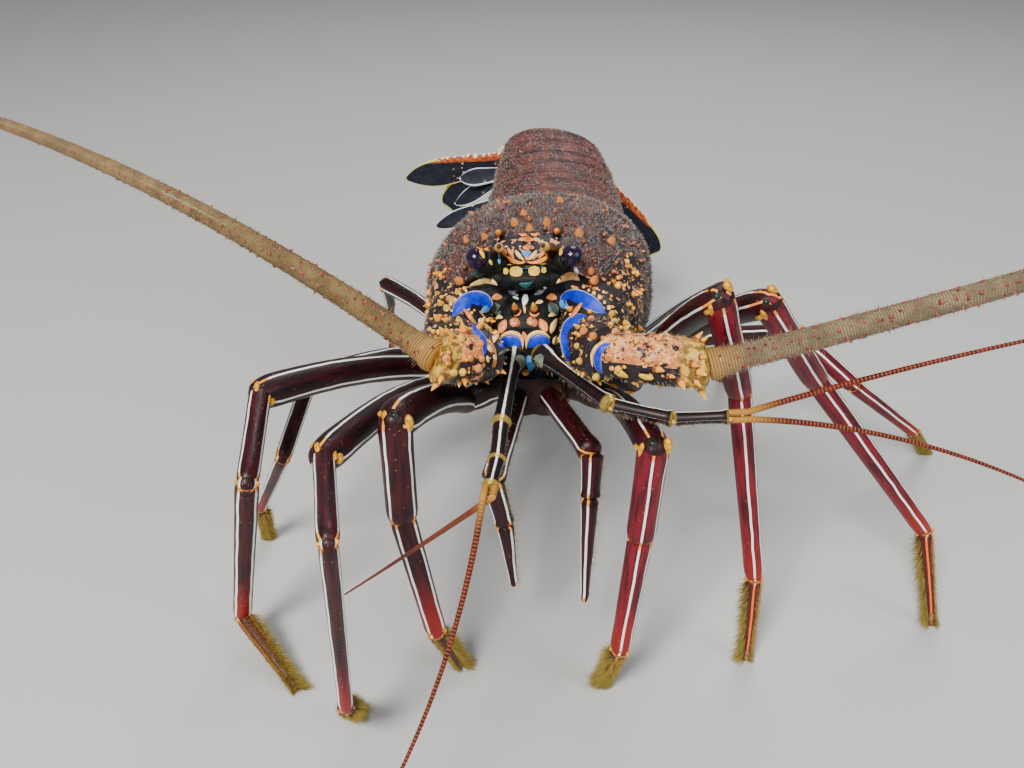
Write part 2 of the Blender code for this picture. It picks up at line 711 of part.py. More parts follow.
def make_maxilliped(side):
    """Small bent limb that hangs from the mouth."""
    sign = SIDES[side]
    x, z = MAXILLIPED_ROOT
    joints = [place(sign * x, STERNUM_FRONT - GAP, z)]
    joints += [Vector(point) for point in MAXILLIPED_JOINTS[side]]
    points = [joints[0]]
    radii = [MAXILLIPED_RADII[0]]
    for index, shares in enumerate(((0.2, 0.6, 0.9), (0.15, 0.85), (0.1, 0.5, 1.0))):
        near, far = MAXILLIPED_RADII[index:index + 2]
        for share in shares:
            points.append(joints[index].lerp(joints[index + 1], share))
            radii.append(near + (far - near) * share)
    node("maxilliped_" + side, LEG_MAROON, tube(points, radii, 8, planes=(BODY_BACK, None)))


def leg_joints(side, pair):
    """Root on the sternum, hip, knee, wrist, ankle and foot of one leg."""
    sign = SIDES[side]
    size, merus, carpus, propodus, dactyl_yaw = LEG_POSES[(side, pair)]
    lengths = [size * length for length in LEG_LENGTHS[pair]]
    x, y, z = LEG_HIPS[pair]
    root = place(sign * (sternum_half_width(y) + GAP), y, (CARAPACE_FLOOR - GAP + STERNUM_SIDE_FLOOR) / 2)
    joints = [root, place(sign * x, y, z)]
    for length, (yaw, rise) in zip(lengths, (merus, carpus, propodus)):
        joints.append(joints[-1] + heading(yaw, rise) * length)
    drop = math.degrees(math.asin(min(joints[-1].z / lengths[3], 0.995)))
    joints.append(joints[-1] + heading(dactyl_yaw, -drop) * lengths[3])
    joints[-1].z = 0.0
    return joints


def make_leg(side, pair):
    """Walking leg in two nodes, parted at the knee."""
    sign = SIDES[side]
    girth = LEG_GIRTH[pair]
    slim = SHIN_SLIMNESS[side]
    root, hip, knee, wrist, ankle, foot = leg_joints(side, pair)
    rise = STERNUM_REAR_HALF_WIDTH - STERNUM_FRONT_HALF_WIDTH
    run = STERNUM_REAR - STERNUM_FRONT
    wall = (BODY.to_3x3() @ Vector((sign * run, -rise, 0))).normalized()
    knee_plane = joint_plane(hip, knee, wrist)
    thigh = (knee - hip).normalized()
    shin = (wrist - knee).normalized()
    bow = Vector((0, 0, 1)) * (knee - hip).length * MERUS_BOW
    points = [root, root.lerp(hip, 0.45)]
    radii = [6.4, 6.2]
    for share, size in ((0.0, 0.92), (0.12, 0.86), (0.35, 0.95), (0.6, 1.0), (0.82, 1.05)):
        points.append(hip.lerp(knee, share) + bow * math.sin(math.pi * share))
        radii.append(MERUS_RADIUS * girth * size)
    points.append(knee - thigh * GAP / 2)
    radii.append(MERUS_RADIUS * girth * 0.98)
    core = tube(points, radii, LEG_SIDES, planes=(wall, knee_plane))
    node("leg_%s_%d_upper" % (side, pair), LEG_MAROON, core)
    points = [knee + shin * GAP / 2]
    radii = [MERUS_RADIUS * girth * 0.95]
    for start, end, radius, profile in (
        (knee, wrist, CARPUS_RADIUS * slim, ((0.4, 1.0), (0.85, 1.02))),
        (wrist, ankle, PROPODUS_RADIUS * slim, ((0.05, 1.0), (0.45, 1.0), (0.93, 0.82))),
        (ankle, foot, DACTYL_RADIUS, ((0.1, 1.0), (0.6, 0.8))),
    ):
        for share, size in profile:
            points.append(start.lerp(end, share))
            radii.append(radius * girth * size)
    points.append(foot)
    radii.append(FOOT_RADIUS)
    core = tube(points, radii, LEG_SIDES, up=Vector((1, 0, 0)), planes=(knee_plane, Vector((0, 0, 1))))
    node("leg_%s_%d_lower" % (side, pair), LEG_MAROON, core)


def abdomen_frames():
    """Centre, direction, up, half width, crown and belly at each joint of the abdomen."""
    centre = place(0.0, CARAPACE_REAR + GAP, ABDOMEN_ROOT_Z)
    frames = []
    sizes = zip(ABDOMEN_HALF_WIDTHS, ABDOMEN_CROWNS, ABDOMEN_BELLIES)
    for index, (half, crown, belly) in enumerate(sizes):
        along = heading(ABDOMEN_YAWS[index], ABDOMEN_RISES[index])
        if index == 0:
            along = BODY_BACK
        level = along.cross(Vector((0, 0, 1))).normalized()
        upright = level.cross(along)
        up = Matrix.Rotation(math.radians(-ABDOMEN_ROLLS[index]), 3, along) @ upright
        if index == len(SEGMENT_LENGTHS):
            up = heading(*TAIL_UP)
        frames.append((centre, along, up, half, crown, belly))
        if index < len(SEGMENT_LENGTHS):
            following = heading(ABDOMEN_YAWS[index + 1], ABDOMEN_RISES[index + 1])
            centre = centre + (along + following).normalized() * SEGMENT_LENGTHS[index]
    return frames


def pleuron_tooth(frame, sign):
    """Flat pointed tooth at the lower side edge of a segment."""
    centre, along, up, half, crown, belly = frame
    outward = along.cross(up).normalized() * sign
    root = centre + outward * half * 0.86 - up * belly * 0.45
    aim = (along * PLEURON_TOOTH_LEAN - up + outward * 0.15).normalized()
    rings = []
    for share, size in ((-0.1, 1.0), (0.45, 0.72), (1.0, 0.16)):
        rings.append(ring(
            root + aim * PLEURON_TOOTH_LENGTH * share, aim, outward,
            PLEURON_TOOTH_HALF_WIDTH * size, PLEURON_TOOTH_THICKNESS * max(size, 0.35), 6,
        ))
    return loft(rings)


def pleopod(frame, side):
    """Swimming leaf that hangs from the lower side edge of a segment."""
    centre, along, up, half, crown, belly = frame
    outward = along.cross(up).normalized() * SIDES[side]
    drop = math.radians(PLEOPOD_DROP[side])
    root = centre + outward * half * 0.7 - up * belly * 0.55
    aim = outward * math.cos(drop) - up * math.sin(drop)
    face = up * math.cos(drop) + outward * math.sin(drop)
    turn = math.radians(PLEOPOD_TURN)
    face = face * math.cos(turn) - along * math.sin(turn)
    return blade(root, aim, face, PLEOPOD_LENGTH, PLEOPOD_HALF_WIDTHS, PLEOPOD_THICKNESS)


def make_abdomen():
    """Six arched segments, each parted from the next by a thin flat gap."""
    frames = abdomen_frames()
    for index in range(6):
        front, rear = frames[index], frames[index + 1]
        chord = (rear[0] - front[0]).normalized()
        rings = []
        for share, swell in ((0.0, 0.985), (0.3, 1.0), (0.7, 1.02), (1.0, 1.03)):
            centre = front[0].lerp(rear[0], share)
            if share == 0.0 and index:
                centre = centre + chord * GAP / 2
            if share == 1.0 and index < 5:
                centre = centre - chord * GAP / 2
            along = front[1].lerp(rear[1], share).normalized()
            up = front[2].lerp(rear[2], share).normalized()
            half = (front[3] + (rear[3] - front[3]) * share) * swell
            crown = (front[4] + (rear[4] - front[4]) * share) * swell
            belly = (front[5] + (rear[5] - front[5]) * share) * swell
            rings.append(ring(centre, along, up, half, crown, ABDOMEN_SIDES,
                              belly=belly, powers=(2.1, 3.2)))
        middle = [(a + b) / 2 for a, b in zip(front, rear)]
        extras = []
        if index + 1 in PLEOPOD_SEGMENTS:
            extras += [pleuron_tooth(middle, sign) for sign in SIDES.values()]
            extras += [pleopod(middle, side) for side in SIDES]
        node("abdomen_%d" % (index + 1), SHELL_BROWN, loft(rings), extras)
    return frames[-1]


def make_tail_fan(frame):
    """Telson in the middle and a forked uropod on either side."""
    centre, along, up, half, crown, belly = frame
    side = along.cross(up).normalized()
    start = centre + along * GAP
    node("telson", FAN_BLACK, blade(
        start + up * BLADE_STEP, along, up, TELSON_LENGTH, TELSON_HALF_WIDTHS, BLADE_THICKNESS,
    ))
    for name, sign in SIDES.items():
        outward = side * sign
        root = start + outward * (half * 0.76)
        elbow = root + outward * PROTOPOD_REACH[0] + along * PROTOPOD_REACH[1]
        aim = (elbow - root).normalized()
        block = loft([
            ring(root, along, up, half * 0.22, crown * 0.42, 8, belly=belly * 0.7),
            ring(root.lerp(elbow, 0.5) + along * 2.0, (aim + along).normalized(), up, 5.5, 5.0, 8),
            ring(elbow + aim * 4.0, aim, up, 4.5, 3.2, 8),
        ])
        lobes = []
        for spread, length, widths, step in (
            (ENDOPOD_SPREAD, ENDOPOD_LENGTH, ENDOPOD_HALF_WIDTHS, 0.0),
            (EXOPOD_SPREAD, EXOPOD_LENGTH, EXOPOD_HALF_WIDTHS, -BLADE_STEP),
        ):
            angle = math.radians(spread[name])
            aim = along * math.cos(angle) + outward * math.sin(angle)
            lobes.append(blade(elbow + up * step, aim, up, length, widths, BLADE_THICKNESS))
        node("uropod_" + name, FAN_BLACK, block, lobes)


def centre_and_scale():
    """Moves the whole animal over the origin and turns millimetres into metres."""
    things = [thing for thing in bpy.context.scene.objects if thing.type == "MESH"]
    corners = [vertex.co for thing in things for vertex in thing.data.vertices]
    shift = Vector((
        -(min(c.x for c in corners) + max(c.x for c in corners)) / 2,
        -(min(c.y for c in corners) + max(c.y for c in corners)) / 2,
        0.0,
    ))
    for thing in things:
        thing.data.transform(Matrix.Scale(METRES, 4) @ Matrix.Translation(shift))
        thing.data.shade_smooth()
        thing.data.set_sharp_from_angle(angle=math.radians(40))
        thing.data.update()


def main():
    """Clears the scene and builds the animal."""
    for thing in list(bpy.data.objects):
        bpy.data.objects.remove(thing)
    random.seed(SEED)
    make_carapace()
    make_sternum()
    make_antennular_plate()
    for side in SIDES:
        make_eye(side)
        make_antenna(side)
        make_antennule(side)
        make_maxilliped(side)
        for pair in LEG_HIPS:
            make_leg(side, pair)
    make_tail_fan(make_abdomen())
    centre_and_scale()


main()
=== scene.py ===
"""Looks of a still, life-size spiny lobster that stands on its walking legs.

Shapes are worked out in millimetres in the animal's own frame, with the head towards -Y and its
left side towards +X, and ``piece`` carries them into the row frame in metres. Points called local
are in the body's frame, with y along the back and z up from the underside.
"""
import json
import logging
import math
from collections.abc import Sequence
from dataclasses import dataclass, field, replace
from enum import Enum, IntEnum
from functools import cache
from typing import Protocol

import bmesh
import bpy
import numpy as np
from mathutils import Matrix, Vector
from mathutils.bvhtree import BVHTree

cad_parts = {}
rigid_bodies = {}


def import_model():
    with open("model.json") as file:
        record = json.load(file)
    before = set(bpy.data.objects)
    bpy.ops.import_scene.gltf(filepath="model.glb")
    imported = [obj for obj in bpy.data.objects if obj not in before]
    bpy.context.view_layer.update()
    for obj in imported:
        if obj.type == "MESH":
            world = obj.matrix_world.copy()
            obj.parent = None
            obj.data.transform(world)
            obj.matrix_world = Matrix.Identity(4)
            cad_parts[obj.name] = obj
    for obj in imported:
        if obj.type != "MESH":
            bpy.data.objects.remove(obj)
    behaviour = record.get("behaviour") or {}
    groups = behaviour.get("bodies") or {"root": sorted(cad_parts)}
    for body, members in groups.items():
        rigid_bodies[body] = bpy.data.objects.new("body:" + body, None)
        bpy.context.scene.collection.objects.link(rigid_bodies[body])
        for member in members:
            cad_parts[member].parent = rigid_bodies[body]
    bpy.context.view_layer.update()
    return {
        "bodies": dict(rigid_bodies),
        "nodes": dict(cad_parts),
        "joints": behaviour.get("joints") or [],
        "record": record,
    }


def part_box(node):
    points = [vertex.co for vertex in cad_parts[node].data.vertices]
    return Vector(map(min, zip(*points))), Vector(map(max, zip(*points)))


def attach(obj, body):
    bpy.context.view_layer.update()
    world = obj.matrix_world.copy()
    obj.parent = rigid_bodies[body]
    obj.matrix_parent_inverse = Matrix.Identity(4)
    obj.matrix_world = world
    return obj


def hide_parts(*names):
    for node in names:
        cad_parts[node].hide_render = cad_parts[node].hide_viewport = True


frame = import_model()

logging.basicConfig(level=logging.INFO, format="%(message)s")
LOG = logging.getLogger("lobster")

MM = 0.001
SEED = 23
RANDOM = np.random.default_rng(SEED)
UP = np.array((0.0, 0.0, 1.0))

# Stance of the body over the floor
BODY_PITCH = 12.2
BODY_ROLL = 4.0
BODY = np.array(
    Matrix.Translation((2.0, 0.0, 88.0))
    @ Matrix.Rotation(math.radians(-BODY_PITCH), 4, "X")
    @ Matrix.Rotation(math.radians(-BODY_ROLL), 4, "Y")
)
BODY_UP = BODY[:3, 2]
BODY_BACK = BODY[:3, 1]

# The photo's camera, in the animal's frame
PHOTO_SIZE = (1024, 768)
PHOTO_FOCAL = 950.0
CAMERA_PLACE = np.array((32.0, -399.0, 308.0))
CAMERA_AZIMUTH = math.radians(6.6)
CAMERA_ELEVATION = math.radians(30.3)
SENSOR_WIDTH = 36.0

# Sternum: local station and half width at both ends, then heights of its outline
STERNUM_ENDS = ((-64.0, 12.0), (54.0, 30.0))
STERNUM_HEIGHTS = (11.7, -3.5, -6.5)

Array = np.ndarray
Material = bpy.types.Material
Colour = tuple[float, float, float]


class Side(Enum):
    """Side of the animal."""

    LEFT = "left"
    RIGHT = "right"

    @property
    def sign(self) -> float:
        """Direction of this side along X."""
        return 1.0 if self is Side.LEFT else -1.0

    def place(self, points: Sequence) -> "Array":
        """Local points of the left side, mirrored to this side, in the animal's frame."""
        return place(np.array(points, float) * (self.sign, 1, 1))


class Finish(Protocol):
    """Finish that a piece can wear."""

    def build(self) -> Material:
        """Makes its material."""


class Look(Enum):
    """Colour of a painted mark on the head, as base and edge colour."""

    BLUE = ((0.001, 0.030, 0.56), (0.40, 0.36, 0.52))
    LIGHT_BLUE = ((0.06, 0.34, 0.86), (0.45, 0.62, 0.86))
    GREEN = ((0.085, 0.12, 0.085), (0.24, 0.27, 0.16))
    TEAL = ((0.012, 0.10, 0.10), (0.008, 0.025, 0.03))
    CREAM = ((0.96, 0.62, 0.24), (0.74, 0.28, 0.05))
    WHITE = ((0.90, 0.92, 0.88), (0.35, 0.42, 0.52))
    OLIVE = ((0.80, 0.52, 0.06), (0.18, 0.12, 0.02))
    YELLOW = ((0.94, 0.58, 0.035), (0.60, 0.30, 0.02))
    ORANGE = ((0.90, 0.27, 0.012), (0.40, 0.09, 0.01))
    SALMON = ((0.86, 0.29, 0.075), (0.52, 0.12, 0.025))


class LimbLook(IntEnum):
    """Number of each finish of a limb."""

    SHELL = 0
    SKIN = 1
    LOBE = 2
    SOCKET = 3
    CLAW = 4
    BRUSH = 5


def times(colour: Colour, factor: float, lift: float = 0.0) -> Colour:
    """A colour made darker or lighter by a factor, and lifted, up to full."""
    return tuple(min(1.0, part * factor + lift) for part in colour)


def unit(vectors: Array) -> Array:
    """Vectors made one long."""
    vectors = np.asarray(vectors, float)
    return vectors / np.maximum(np.linalg.norm(vectors, axis=-1, keepdims=True), 1e-9)


def place(points: Array) -> Array:
    """Local points of the body, carried into the animal's frame."""
    return np.asarray(points, float) @ BODY[:3, :3].T + BODY[:3, 3]


def heading(yaw: float, rise: float) -> Array:
    """Unit vector at a yaw from +X and a rise over the level, both in degrees."""
    yaw, rise = math.radians(yaw), math.radians(rise)
    return np.array((math.cos(yaw) * math.cos(rise), math.sin(yaw) * math.cos(rise), math.sin(rise)))


def turning_path(start: Array, yaws: tuple, rises: tuple, length: float, steps: int) -> Array:
    """Points along a path whose yaw and rise turn evenly from start to end.

    Args:
        start: First point.
        yaws: Yaw at start and end, in degrees.
        rises: Rise at start and end, in degrees.
        length: Length of the path.
        steps: Number of steps.

    Returns:
        The points, one more than the steps.
    """
    points = [np.asarray(start, float)]
    for index in range(steps):
        share = (index + 0.5) / steps
        yaw = yaws[0] + (yaws[1] - yaws[0]) * share
        rise = rises[0] + (rises[1] - rises[0]) * share
        points.append(points[-1] + heading(yaw, rise) * (length / steps))
    return np.array(points)


def smooth_rows(stations: Sequence[tuple], positions: Array) -> Array:
    """Catmull-Rom reading of a table of stations.

    Args:
        stations: Rows that begin with their position.
        positions: Where to read the other columns.

    Returns:
        One row of values for each position.
    """
    table = np.array(stations, float)
    last = len(table) - 1
    index = np.clip(np.searchsorted(table[:, 0], positions, side="left") - 1, 0, last - 1)
    t = ((positions - table[index, 0]) / (table[index + 1, 0] - table[index, 0]))[:, None]
    before, here = table[np.maximum(index - 1, 0), 1:], table[index, 1:]
    there, after = table[index + 1, 1:], table[np.minimum(index + 2, last), 1:]
    return (
        here * (2 * t**3 - 3 * t**2 + 1) + there * (3 * t**2 - 2 * t**3)
        + (there - before) / 2 * (t**3 - 2 * t**2 + t) + (after - here) / 2 * (t**3 - t**2)
    )


def signed_power(value: Array, power: Array | float) -> Array:
    """Signed power, which squares off an ellipse."""
    return np.sign(value) * np.abs(value) ** (2.0 / power)


def ripple(points: Array, pitch: float, seed: int = 0) -> Array:
    """Smooth irregular waves over points, from about -1 to 1.

    Args:
        points: Where to read the waves.
        pitch: About the length of one wave.
        seed: Seed of their directions.

    Returns:
        One value for each point.
    """
    source = np.random.default_rng(seed)
    total = np.zeros(points.shape[:-1])
    for _ in range(7):
        direction = unit(source.normal(size=3)) * (2 * math.pi / pitch) * source.uniform(0.6, 1.5)
        total += np.sin(points @ direction + source.uniform(0, 6.28))
    return total / 3.2


def bell(value: Array, centre: float | Array, width: float) -> Array:
    """Smooth bump, one high at its centre."""
    return np.exp(-(((value - centre) / width) ** 2))


def sternum_corners() -> Array:
    """Corner points of the sternum, which tie the animal's frame to the row frame.

    Returns:
        The points in the animal's frame.
    """
    top, side, keel = STERNUM_HEIGHTS
    corners = []
    for y, half in STERNUM_ENDS:
        for x, z in ((1.0, top), (1.0, side), (0.6, keel)):
            corners += [(half * x, y, z), (-half * x, y, z)]
    return place(np.array(corners))


def sternum_half(y: float | Array) -> float | Array:
    """Half width of the sternum at a station."""
    (front, narrow), (rear, broad) = STERNUM_ENDS
    return narrow + (broad - narrow) * (y - front) / (rear - front)


SHIFT = np.array(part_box("sternum")[0]) / MM - sternum_corners().min(0)


@dataclass
class Draft:
    """Mesh under construction, in millimetres.

    ``fields`` hold one number or vector a vertex for the finishes, ``looks`` the number of each
    face's finish and ``patch`` each vertex's place on the coat's map.
    """

    points: Array
    faces: list
    fields: dict = field(default_factory=dict)
    looks: Array | None = None
    patch: Array | None = None

    def painted(self, look: int) -> "Draft":
        """The same mesh with one finish number on every face."""
        return replace(self, looks=np.full(len(self.faces), look))

    def stood(self, start: Array, end: Array, up: Array, girth: float | tuple = 1.0,
              kind: float = 0.0) -> "Draft":
        """Copy of a straight part that is one hundred long, set between two points.

        Args:
            start: Where its foot goes.
            end: Where its top goes.
            up: Direction that its local y leans to.
            girth: Factor on its thickness, or one factor across and one along ``up``.
            kind: Number that tells its finish which part it is.

        Returns:
            The copy, with its own millimetres in the field ``local``.
        """
        axis = np.asarray(end, float) - start
        length = float(np.linalg.norm(axis))
        z = axis / length
        x = unit(np.cross(up, z))
        y = np.cross(z, x)
        local = self.points * (*np.broadcast_to(girth, 2), length / 100.0)
        points = start + local[:, :1] * x + local[:, 1:2] * y + local[:, 2:] * z
        span = np.column_stack([local[:, 2], length - local[:, 2], np.full(len(local), kind)])
        return replace(self, points=points, fields={"local": local, "span": span})


def merge(drafts: Sequence[Draft]) -> Draft:
    """Several drafts as one, with fields that a draft lacks set to zero.

    Args:
        drafts: Drafts to join. Empty ones are left out.

    Returns:
        The joined draft.
    """
    drafts = [draft for draft in drafts if len(draft.points)]
    names = {name: values.shape[1:] for draft in drafts for name, values in draft.fields.items()}
    faces: list = []
    offset = 0
    for draft in drafts:
        faces += [[corner + offset for corner in face] for face in draft.faces]
        offset += len(draft.points)
    fields = {}
    for name, shape in names.items():
        fields[name] = np.concatenate([
            draft.fields.get(name, np.zeros((len(draft.points), *shape))) for draft in drafts
        ])
    looks = np.concatenate([
        draft.looks if draft.looks is not None else np.zeros(len(draft.faces), int) for draft in drafts
    ])
    patch = None
    if all(draft.patch is not None for draft in drafts):
        patch = np.concatenate([draft.patch for draft in drafts])
    return Draft(np.concatenate([draft.points for draft in drafts]), faces, fields, looks, patch)


@cache
def dressed(finish: Finish) -> Material:
    """Material of a finish, built once."""
    return finish.build()


def piece(name: str, draft: Draft, finishes: Sequence[Finish],
          nodes: Sequence[str] = (), sharp: float = 50.0) -> None:
    """Turns a draft into a finished piece of the model.

    Args:
        name: Name of the piece.
        draft: Its mesh.
        finishes: Finishes that the draft's finish numbers point at.
        nodes: CAD nodes that it stands for.
        sharp: Angle in degrees over which an edge stays sharp.
    """
    mesh = bpy.data.meshes.new(name)
    mesh.from_pydata(((draft.points + SHIFT) * MM).tolist(), [], draft.faces)
    for key, values in draft.fields.items():
        vector = values.ndim == 2
        layer = mesh.attributes.new(key, "FLOAT_VECTOR" if vector else "FLOAT", "POINT")
        layer.data.foreach_set("vector" if vector else "value", values.astype(np.float32).ravel())
    if draft.patch is not None:
        corners = np.zeros(len(mesh.loops), int)
        mesh.loops.foreach_get("vertex_index", corners)
        mesh.uv_layers.new(name="OFBake").data.foreach_set(
            "uv", draft.patch[corners].astype(np.float32).ravel())
    for finish in finishes:
        mesh.materials.append(dressed(finish))
    if draft.looks is not None and len(finishes) > 1:
        mesh.polygons.foreach_set("material_index", draft.looks.astype(np.int32))
    shape = bmesh.new()
    shape.from_mesh(mesh)
    bmesh.ops.recalc_face_normals(shape, faces=shape.faces[:])
    shape.to_mesh(mesh)
    shape.free()
    mesh.shade_smooth()
    mesh.set_sharp_from_angle(angle=math.radians(sharp))
    thing = bpy.data.objects.new(name, mesh)
    bpy.context.scene.collection.objects.link(thing)
    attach(thing, "root")
    if nodes:
        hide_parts(*nodes)
    LOG.info("%s: %d faces", name, len(mesh.polygons))


def turned(sides: int, sections: Sequence[tuple], smooth: int = 0) -> Draft:
    """Straight part along +Z, extruded from a filled circle section by section.

    Args:
        sides: Sides of the circle.
        sections: Height, half width and half depth of each section, or height and radius.
        smooth: Levels of subdivision.

    Returns:
        The part's mesh.
    """
    bpy.ops.object.select_all(action="DESELECT")
    rows = [(row[0], row[1], row[-1]) for row in sections]
    height, wide, deep = rows[0]
    bpy.ops.mesh.primitive_circle_add(vertices=sides, radius=1.0, fill_type="NGON", location=(0, 0, height))
    thing = bpy.context.object
    bpy.ops.object.transform_apply(location=True, rotation=True, scale=True)
    bpy.ops.object.mode_set(mode="EDIT")
    bpy.ops.mesh.select_all(action="SELECT")
    bpy.ops.transform.resize(value=(wide, deep, 1.0), center_override=(0, 0, height))
    for top, half, low in rows[1:]:
        bpy.ops.mesh.extrude_region_move(TRANSFORM_OT_translate={"value": (0, 0, top - height)})
        bpy.ops.transform.resize(value=(half / wide, low / deep, 1.0), center_override=(0, 0, top))
        height, wide, deep = top, half, low
    bpy.ops.object.mode_set(mode="OBJECT")
    if smooth:
        bpy.ops.object.modifier_add(type="SUBSURF")
        thing.modifiers[0].levels = thing.modifiers[0].render_levels = smooth
        bpy.ops.object.modifier_apply(modifier=thing.modifiers[0].name)
    return draft_of(thing)


def draft_of(thing: bpy.types.Object) -> Draft:
    """Reads an object's mesh into a draft and removes the object.

    Args:
        thing: The object.

    Returns:
        Its points and faces.
    """
    mesh = thing.data
    points = np.zeros(len(mesh.vertices) * 3)
    mesh.vertices.foreach_get("co", points)
    faces = [list(polygon.vertices) for polygon in mesh.polygons]
    bpy.data.objects.remove(thing)
    bpy.data.meshes.remove(mesh)
    return Draft(points.reshape(-1, 3), faces)


def turns(sides: int) -> Array:
    """Angles of a section's points."""
    return 2 * math.pi * (np.arange(sides) + 0.5) / sides


def sections_along(path: Array, up: Array, wide: Array, crown: Array,
                   belly: Array | None = None, sides: int = 24,
                   powers: tuple = (2.0, 2.0), along: Array | None = None) -> Array:
    """Sections across a path.

    Args:
        path: Centres of the sections.
        up: Upward direction, one or one a section.
        wide: Half widths.
        crown: Heights over the path.
        belly: Depths under it, the crown's if not given.
        sides: Points round a section.
        powers: Squareness over and under the path.
        along: Directions of the path, found from the centres if not given.

    Returns:
        Points as sections by sides by 3.
    """
    path = np.asarray(path, float)
    along = unit(np.gradient(path, axis=0)) if along is None else unit(along)
    side = unit(np.cross(along, np.broadcast_to(up, path.shape)))
    top = np.cross(side, along)
    rise, run = np.sin(turns(sides)), np.cos(turns(sides))
    power = np.where(rise > 0, powers[0], powers[1])
    belly = crown if belly is None else belly
    high = np.where(rise[None] > 0, np.asarray(crown)[:, None], np.asarray(belly)[:, None])
    across = np.asarray(wide)[:, None] * signed_power(run, power)[None]
    lift = high * signed_power(rise, power)[None]
    return path[:, None] + side[:, None] * across[..., None] + top[:, None] * lift[..., None]


def skin(rings: Array, fields: dict | None = None) -> Draft:
    """Closed mesh through sections of equal count, closed flat at both ends.

    Args:
        rings: Points as sections by sides by 3.
        fields: Values for the finishes, of the rings' shape or spread to it.

    Returns:
        The mesh.
    """
    rows, sides = rings.shape[:2]
    low = np.arange(rows - 1)[:, None] * sides
    here = np.arange(sides)[None]
    after = (here + 1) % sides
    quads = np.stack([low + here, low + after, low + sides + after, low + sides + here], -1)
    faces = quads.reshape(-1, 4).tolist()
    faces += [list(range(sides))[::-1], list(range((rows - 1) * sides, rows * sides))]
    flat = {key: np.broadcast_to(values, (*rings.shape[:2], *values.shape[2:])).reshape(
        rows * sides, *values.shape[2:]) for key, values in (fields or {}).items()}
    return Draft(rings.reshape(-1, 3), faces, flat)


def layers(*values: Array) -> Array:
    """Numbers side by side as one vector field, each spread to the largest shape."""
    return np.stack(np.broadcast_arrays(*values), -1)


def tube_fields(rings: Array) -> dict:
    """Place of each point of a tube: share along and round it, and millimetres along it.

    Args:
        rings: Points as sections by sides by 3.

    Returns:
        The fields ``span`` and ``local``.
    """
    steps = np.linalg.norm(np.diff(rings.mean(1), axis=0), axis=1)
    run = np.concatenate([[0.0], np.cumsum(steps)])[:, None]
    around = (np.arange(rings.shape[1]) + 0.5) / rings.shape[1]
    return {"span": layers(run / run[-1], around[None], run), "local": rings}


def tube(rings: Array) -> Draft:
    """Closed mesh through sections, with its points' places along and round it."""
    return skin(rings, tube_fields(rings))


def scatter(shape: Draft, roots: Array, aims: Array, radii: Array | float,
            lengths: Array | float, patch: Array | None = None, sink: float = 0.1) -> Draft:
    """Copies of one small shape, joined into one mesh.

    Args:
        shape: Shape one high along +Z and about one in radius.
        roots: Where each copy stands.
        aims: Where each copy points.
        radii: Radius of each copy.
        lengths: Length of each copy.
        patch: Place of each root on the coat's map.
        sink: Share of its length that a copy is sunk in.

    Returns:
        The joined mesh, with the height up each copy in ``tip`` and a random number in ``shade``.
    """
    count = len(roots)
    aims = unit(aims)
    helper = np.where(np.abs(aims[:, 2:]) < 0.9, (0.0, 0.0, 1.0), (1.0, 0.0, 0.0))
    x = unit(np.cross(helper, aims))
    y = np.cross(aims, x)
    turn = RANDOM.uniform(0, 2 * math.pi, count)[:, None]
    x, y = x * np.cos(turn) + y * np.sin(turn), y * np.cos(turn) - x * np.sin(turn)
    radii = np.broadcast_to(radii, count)[:, None, None]
    lengths = np.broadcast_to(lengths, count)[:, None, None]
    px, py, pz = (shape.points[None, :, k:k + 1] for k in range(3))
    points = roots[:, None] + (x[:, None] * px + y[:, None] * py) * radii
    points = points + aims[:, None] * (pz - sink) * lengths
    size = len(shape.points)
    faces = []
    for copy in range(count):
        faces += [[corner + copy * size for corner in face] for face in shape.faces]
    tip = np.broadcast_to(pz[..., 0], (count, size)).ravel()
    shade = np.repeat(RANDOM.random(count), size)
    chart = None
    if patch is not None:
        offset = 0.0015 * shape.points[:, :2] / np.abs(shape.points[:, :2]).max()
        chart = (np.clip(patch, 0.002, 0.998)[:, None] + offset[None]).reshape(-1, 2)
    return Draft(points.reshape(-1, 3), faces, {"tip": tip, "shade": shade}, None, chart)


@dataclass
class Spots:
    """Places on a skin, with the directions out of it and along it and the places on its map."""

    roots: Array
    outward: Array
    forward: Array
    patch: Array

    def aims(self, lean: float, out: float = 1.0) -> Array:
        """Directions out of the skin that lean forward along it."""
        return self.outward * out + self.forward * lean

    def only(self, keep: Array) -> "Spots":
        """The places that are kept."""
        return Spots(self.roots[keep], self.outward[keep], self.forward[keep], self.patch[keep])


def spots_at(rings: Array, row: Array, turn: Array) -> Spots:
    """Places between a skin's points, at fractional rows and turns.

    Args:
        rings: Points as sections by sides by 3.
        row: Row of each place, with a fraction.
        turn: How far round its section each place is, in sides.

    Returns:
        The places.
    """
    rows, sides = rings.shape[:2]
    low, first = np.clip(row.astype(int), 0, rows - 2), turn.astype(int) % sides
    s, t = (row - low)[:, None], (turn % 1.0)[:, None]
    near, near_next = rings[low, first], rings[low, (first + 1) % sides]
    far, far_next = rings[low + 1, first], rings[low + 1, (first + 1) % sides]
    roots = (near * (1 - t) + near_next * t) * (1 - s) + (far * (1 - t) + far_next * t) * s
    forward = unit(far + far_next - near - near_next)
    outward = unit(np.cross(forward, near_next - near + far_next - far))
    outward *= np.sign(np.sum(outward * (roots - rings.mean(1)[low]), 1, keepdims=True))
    return Spots(roots, outward, forward, np.stack([row / rows, turn / sides % 1.0], -1))


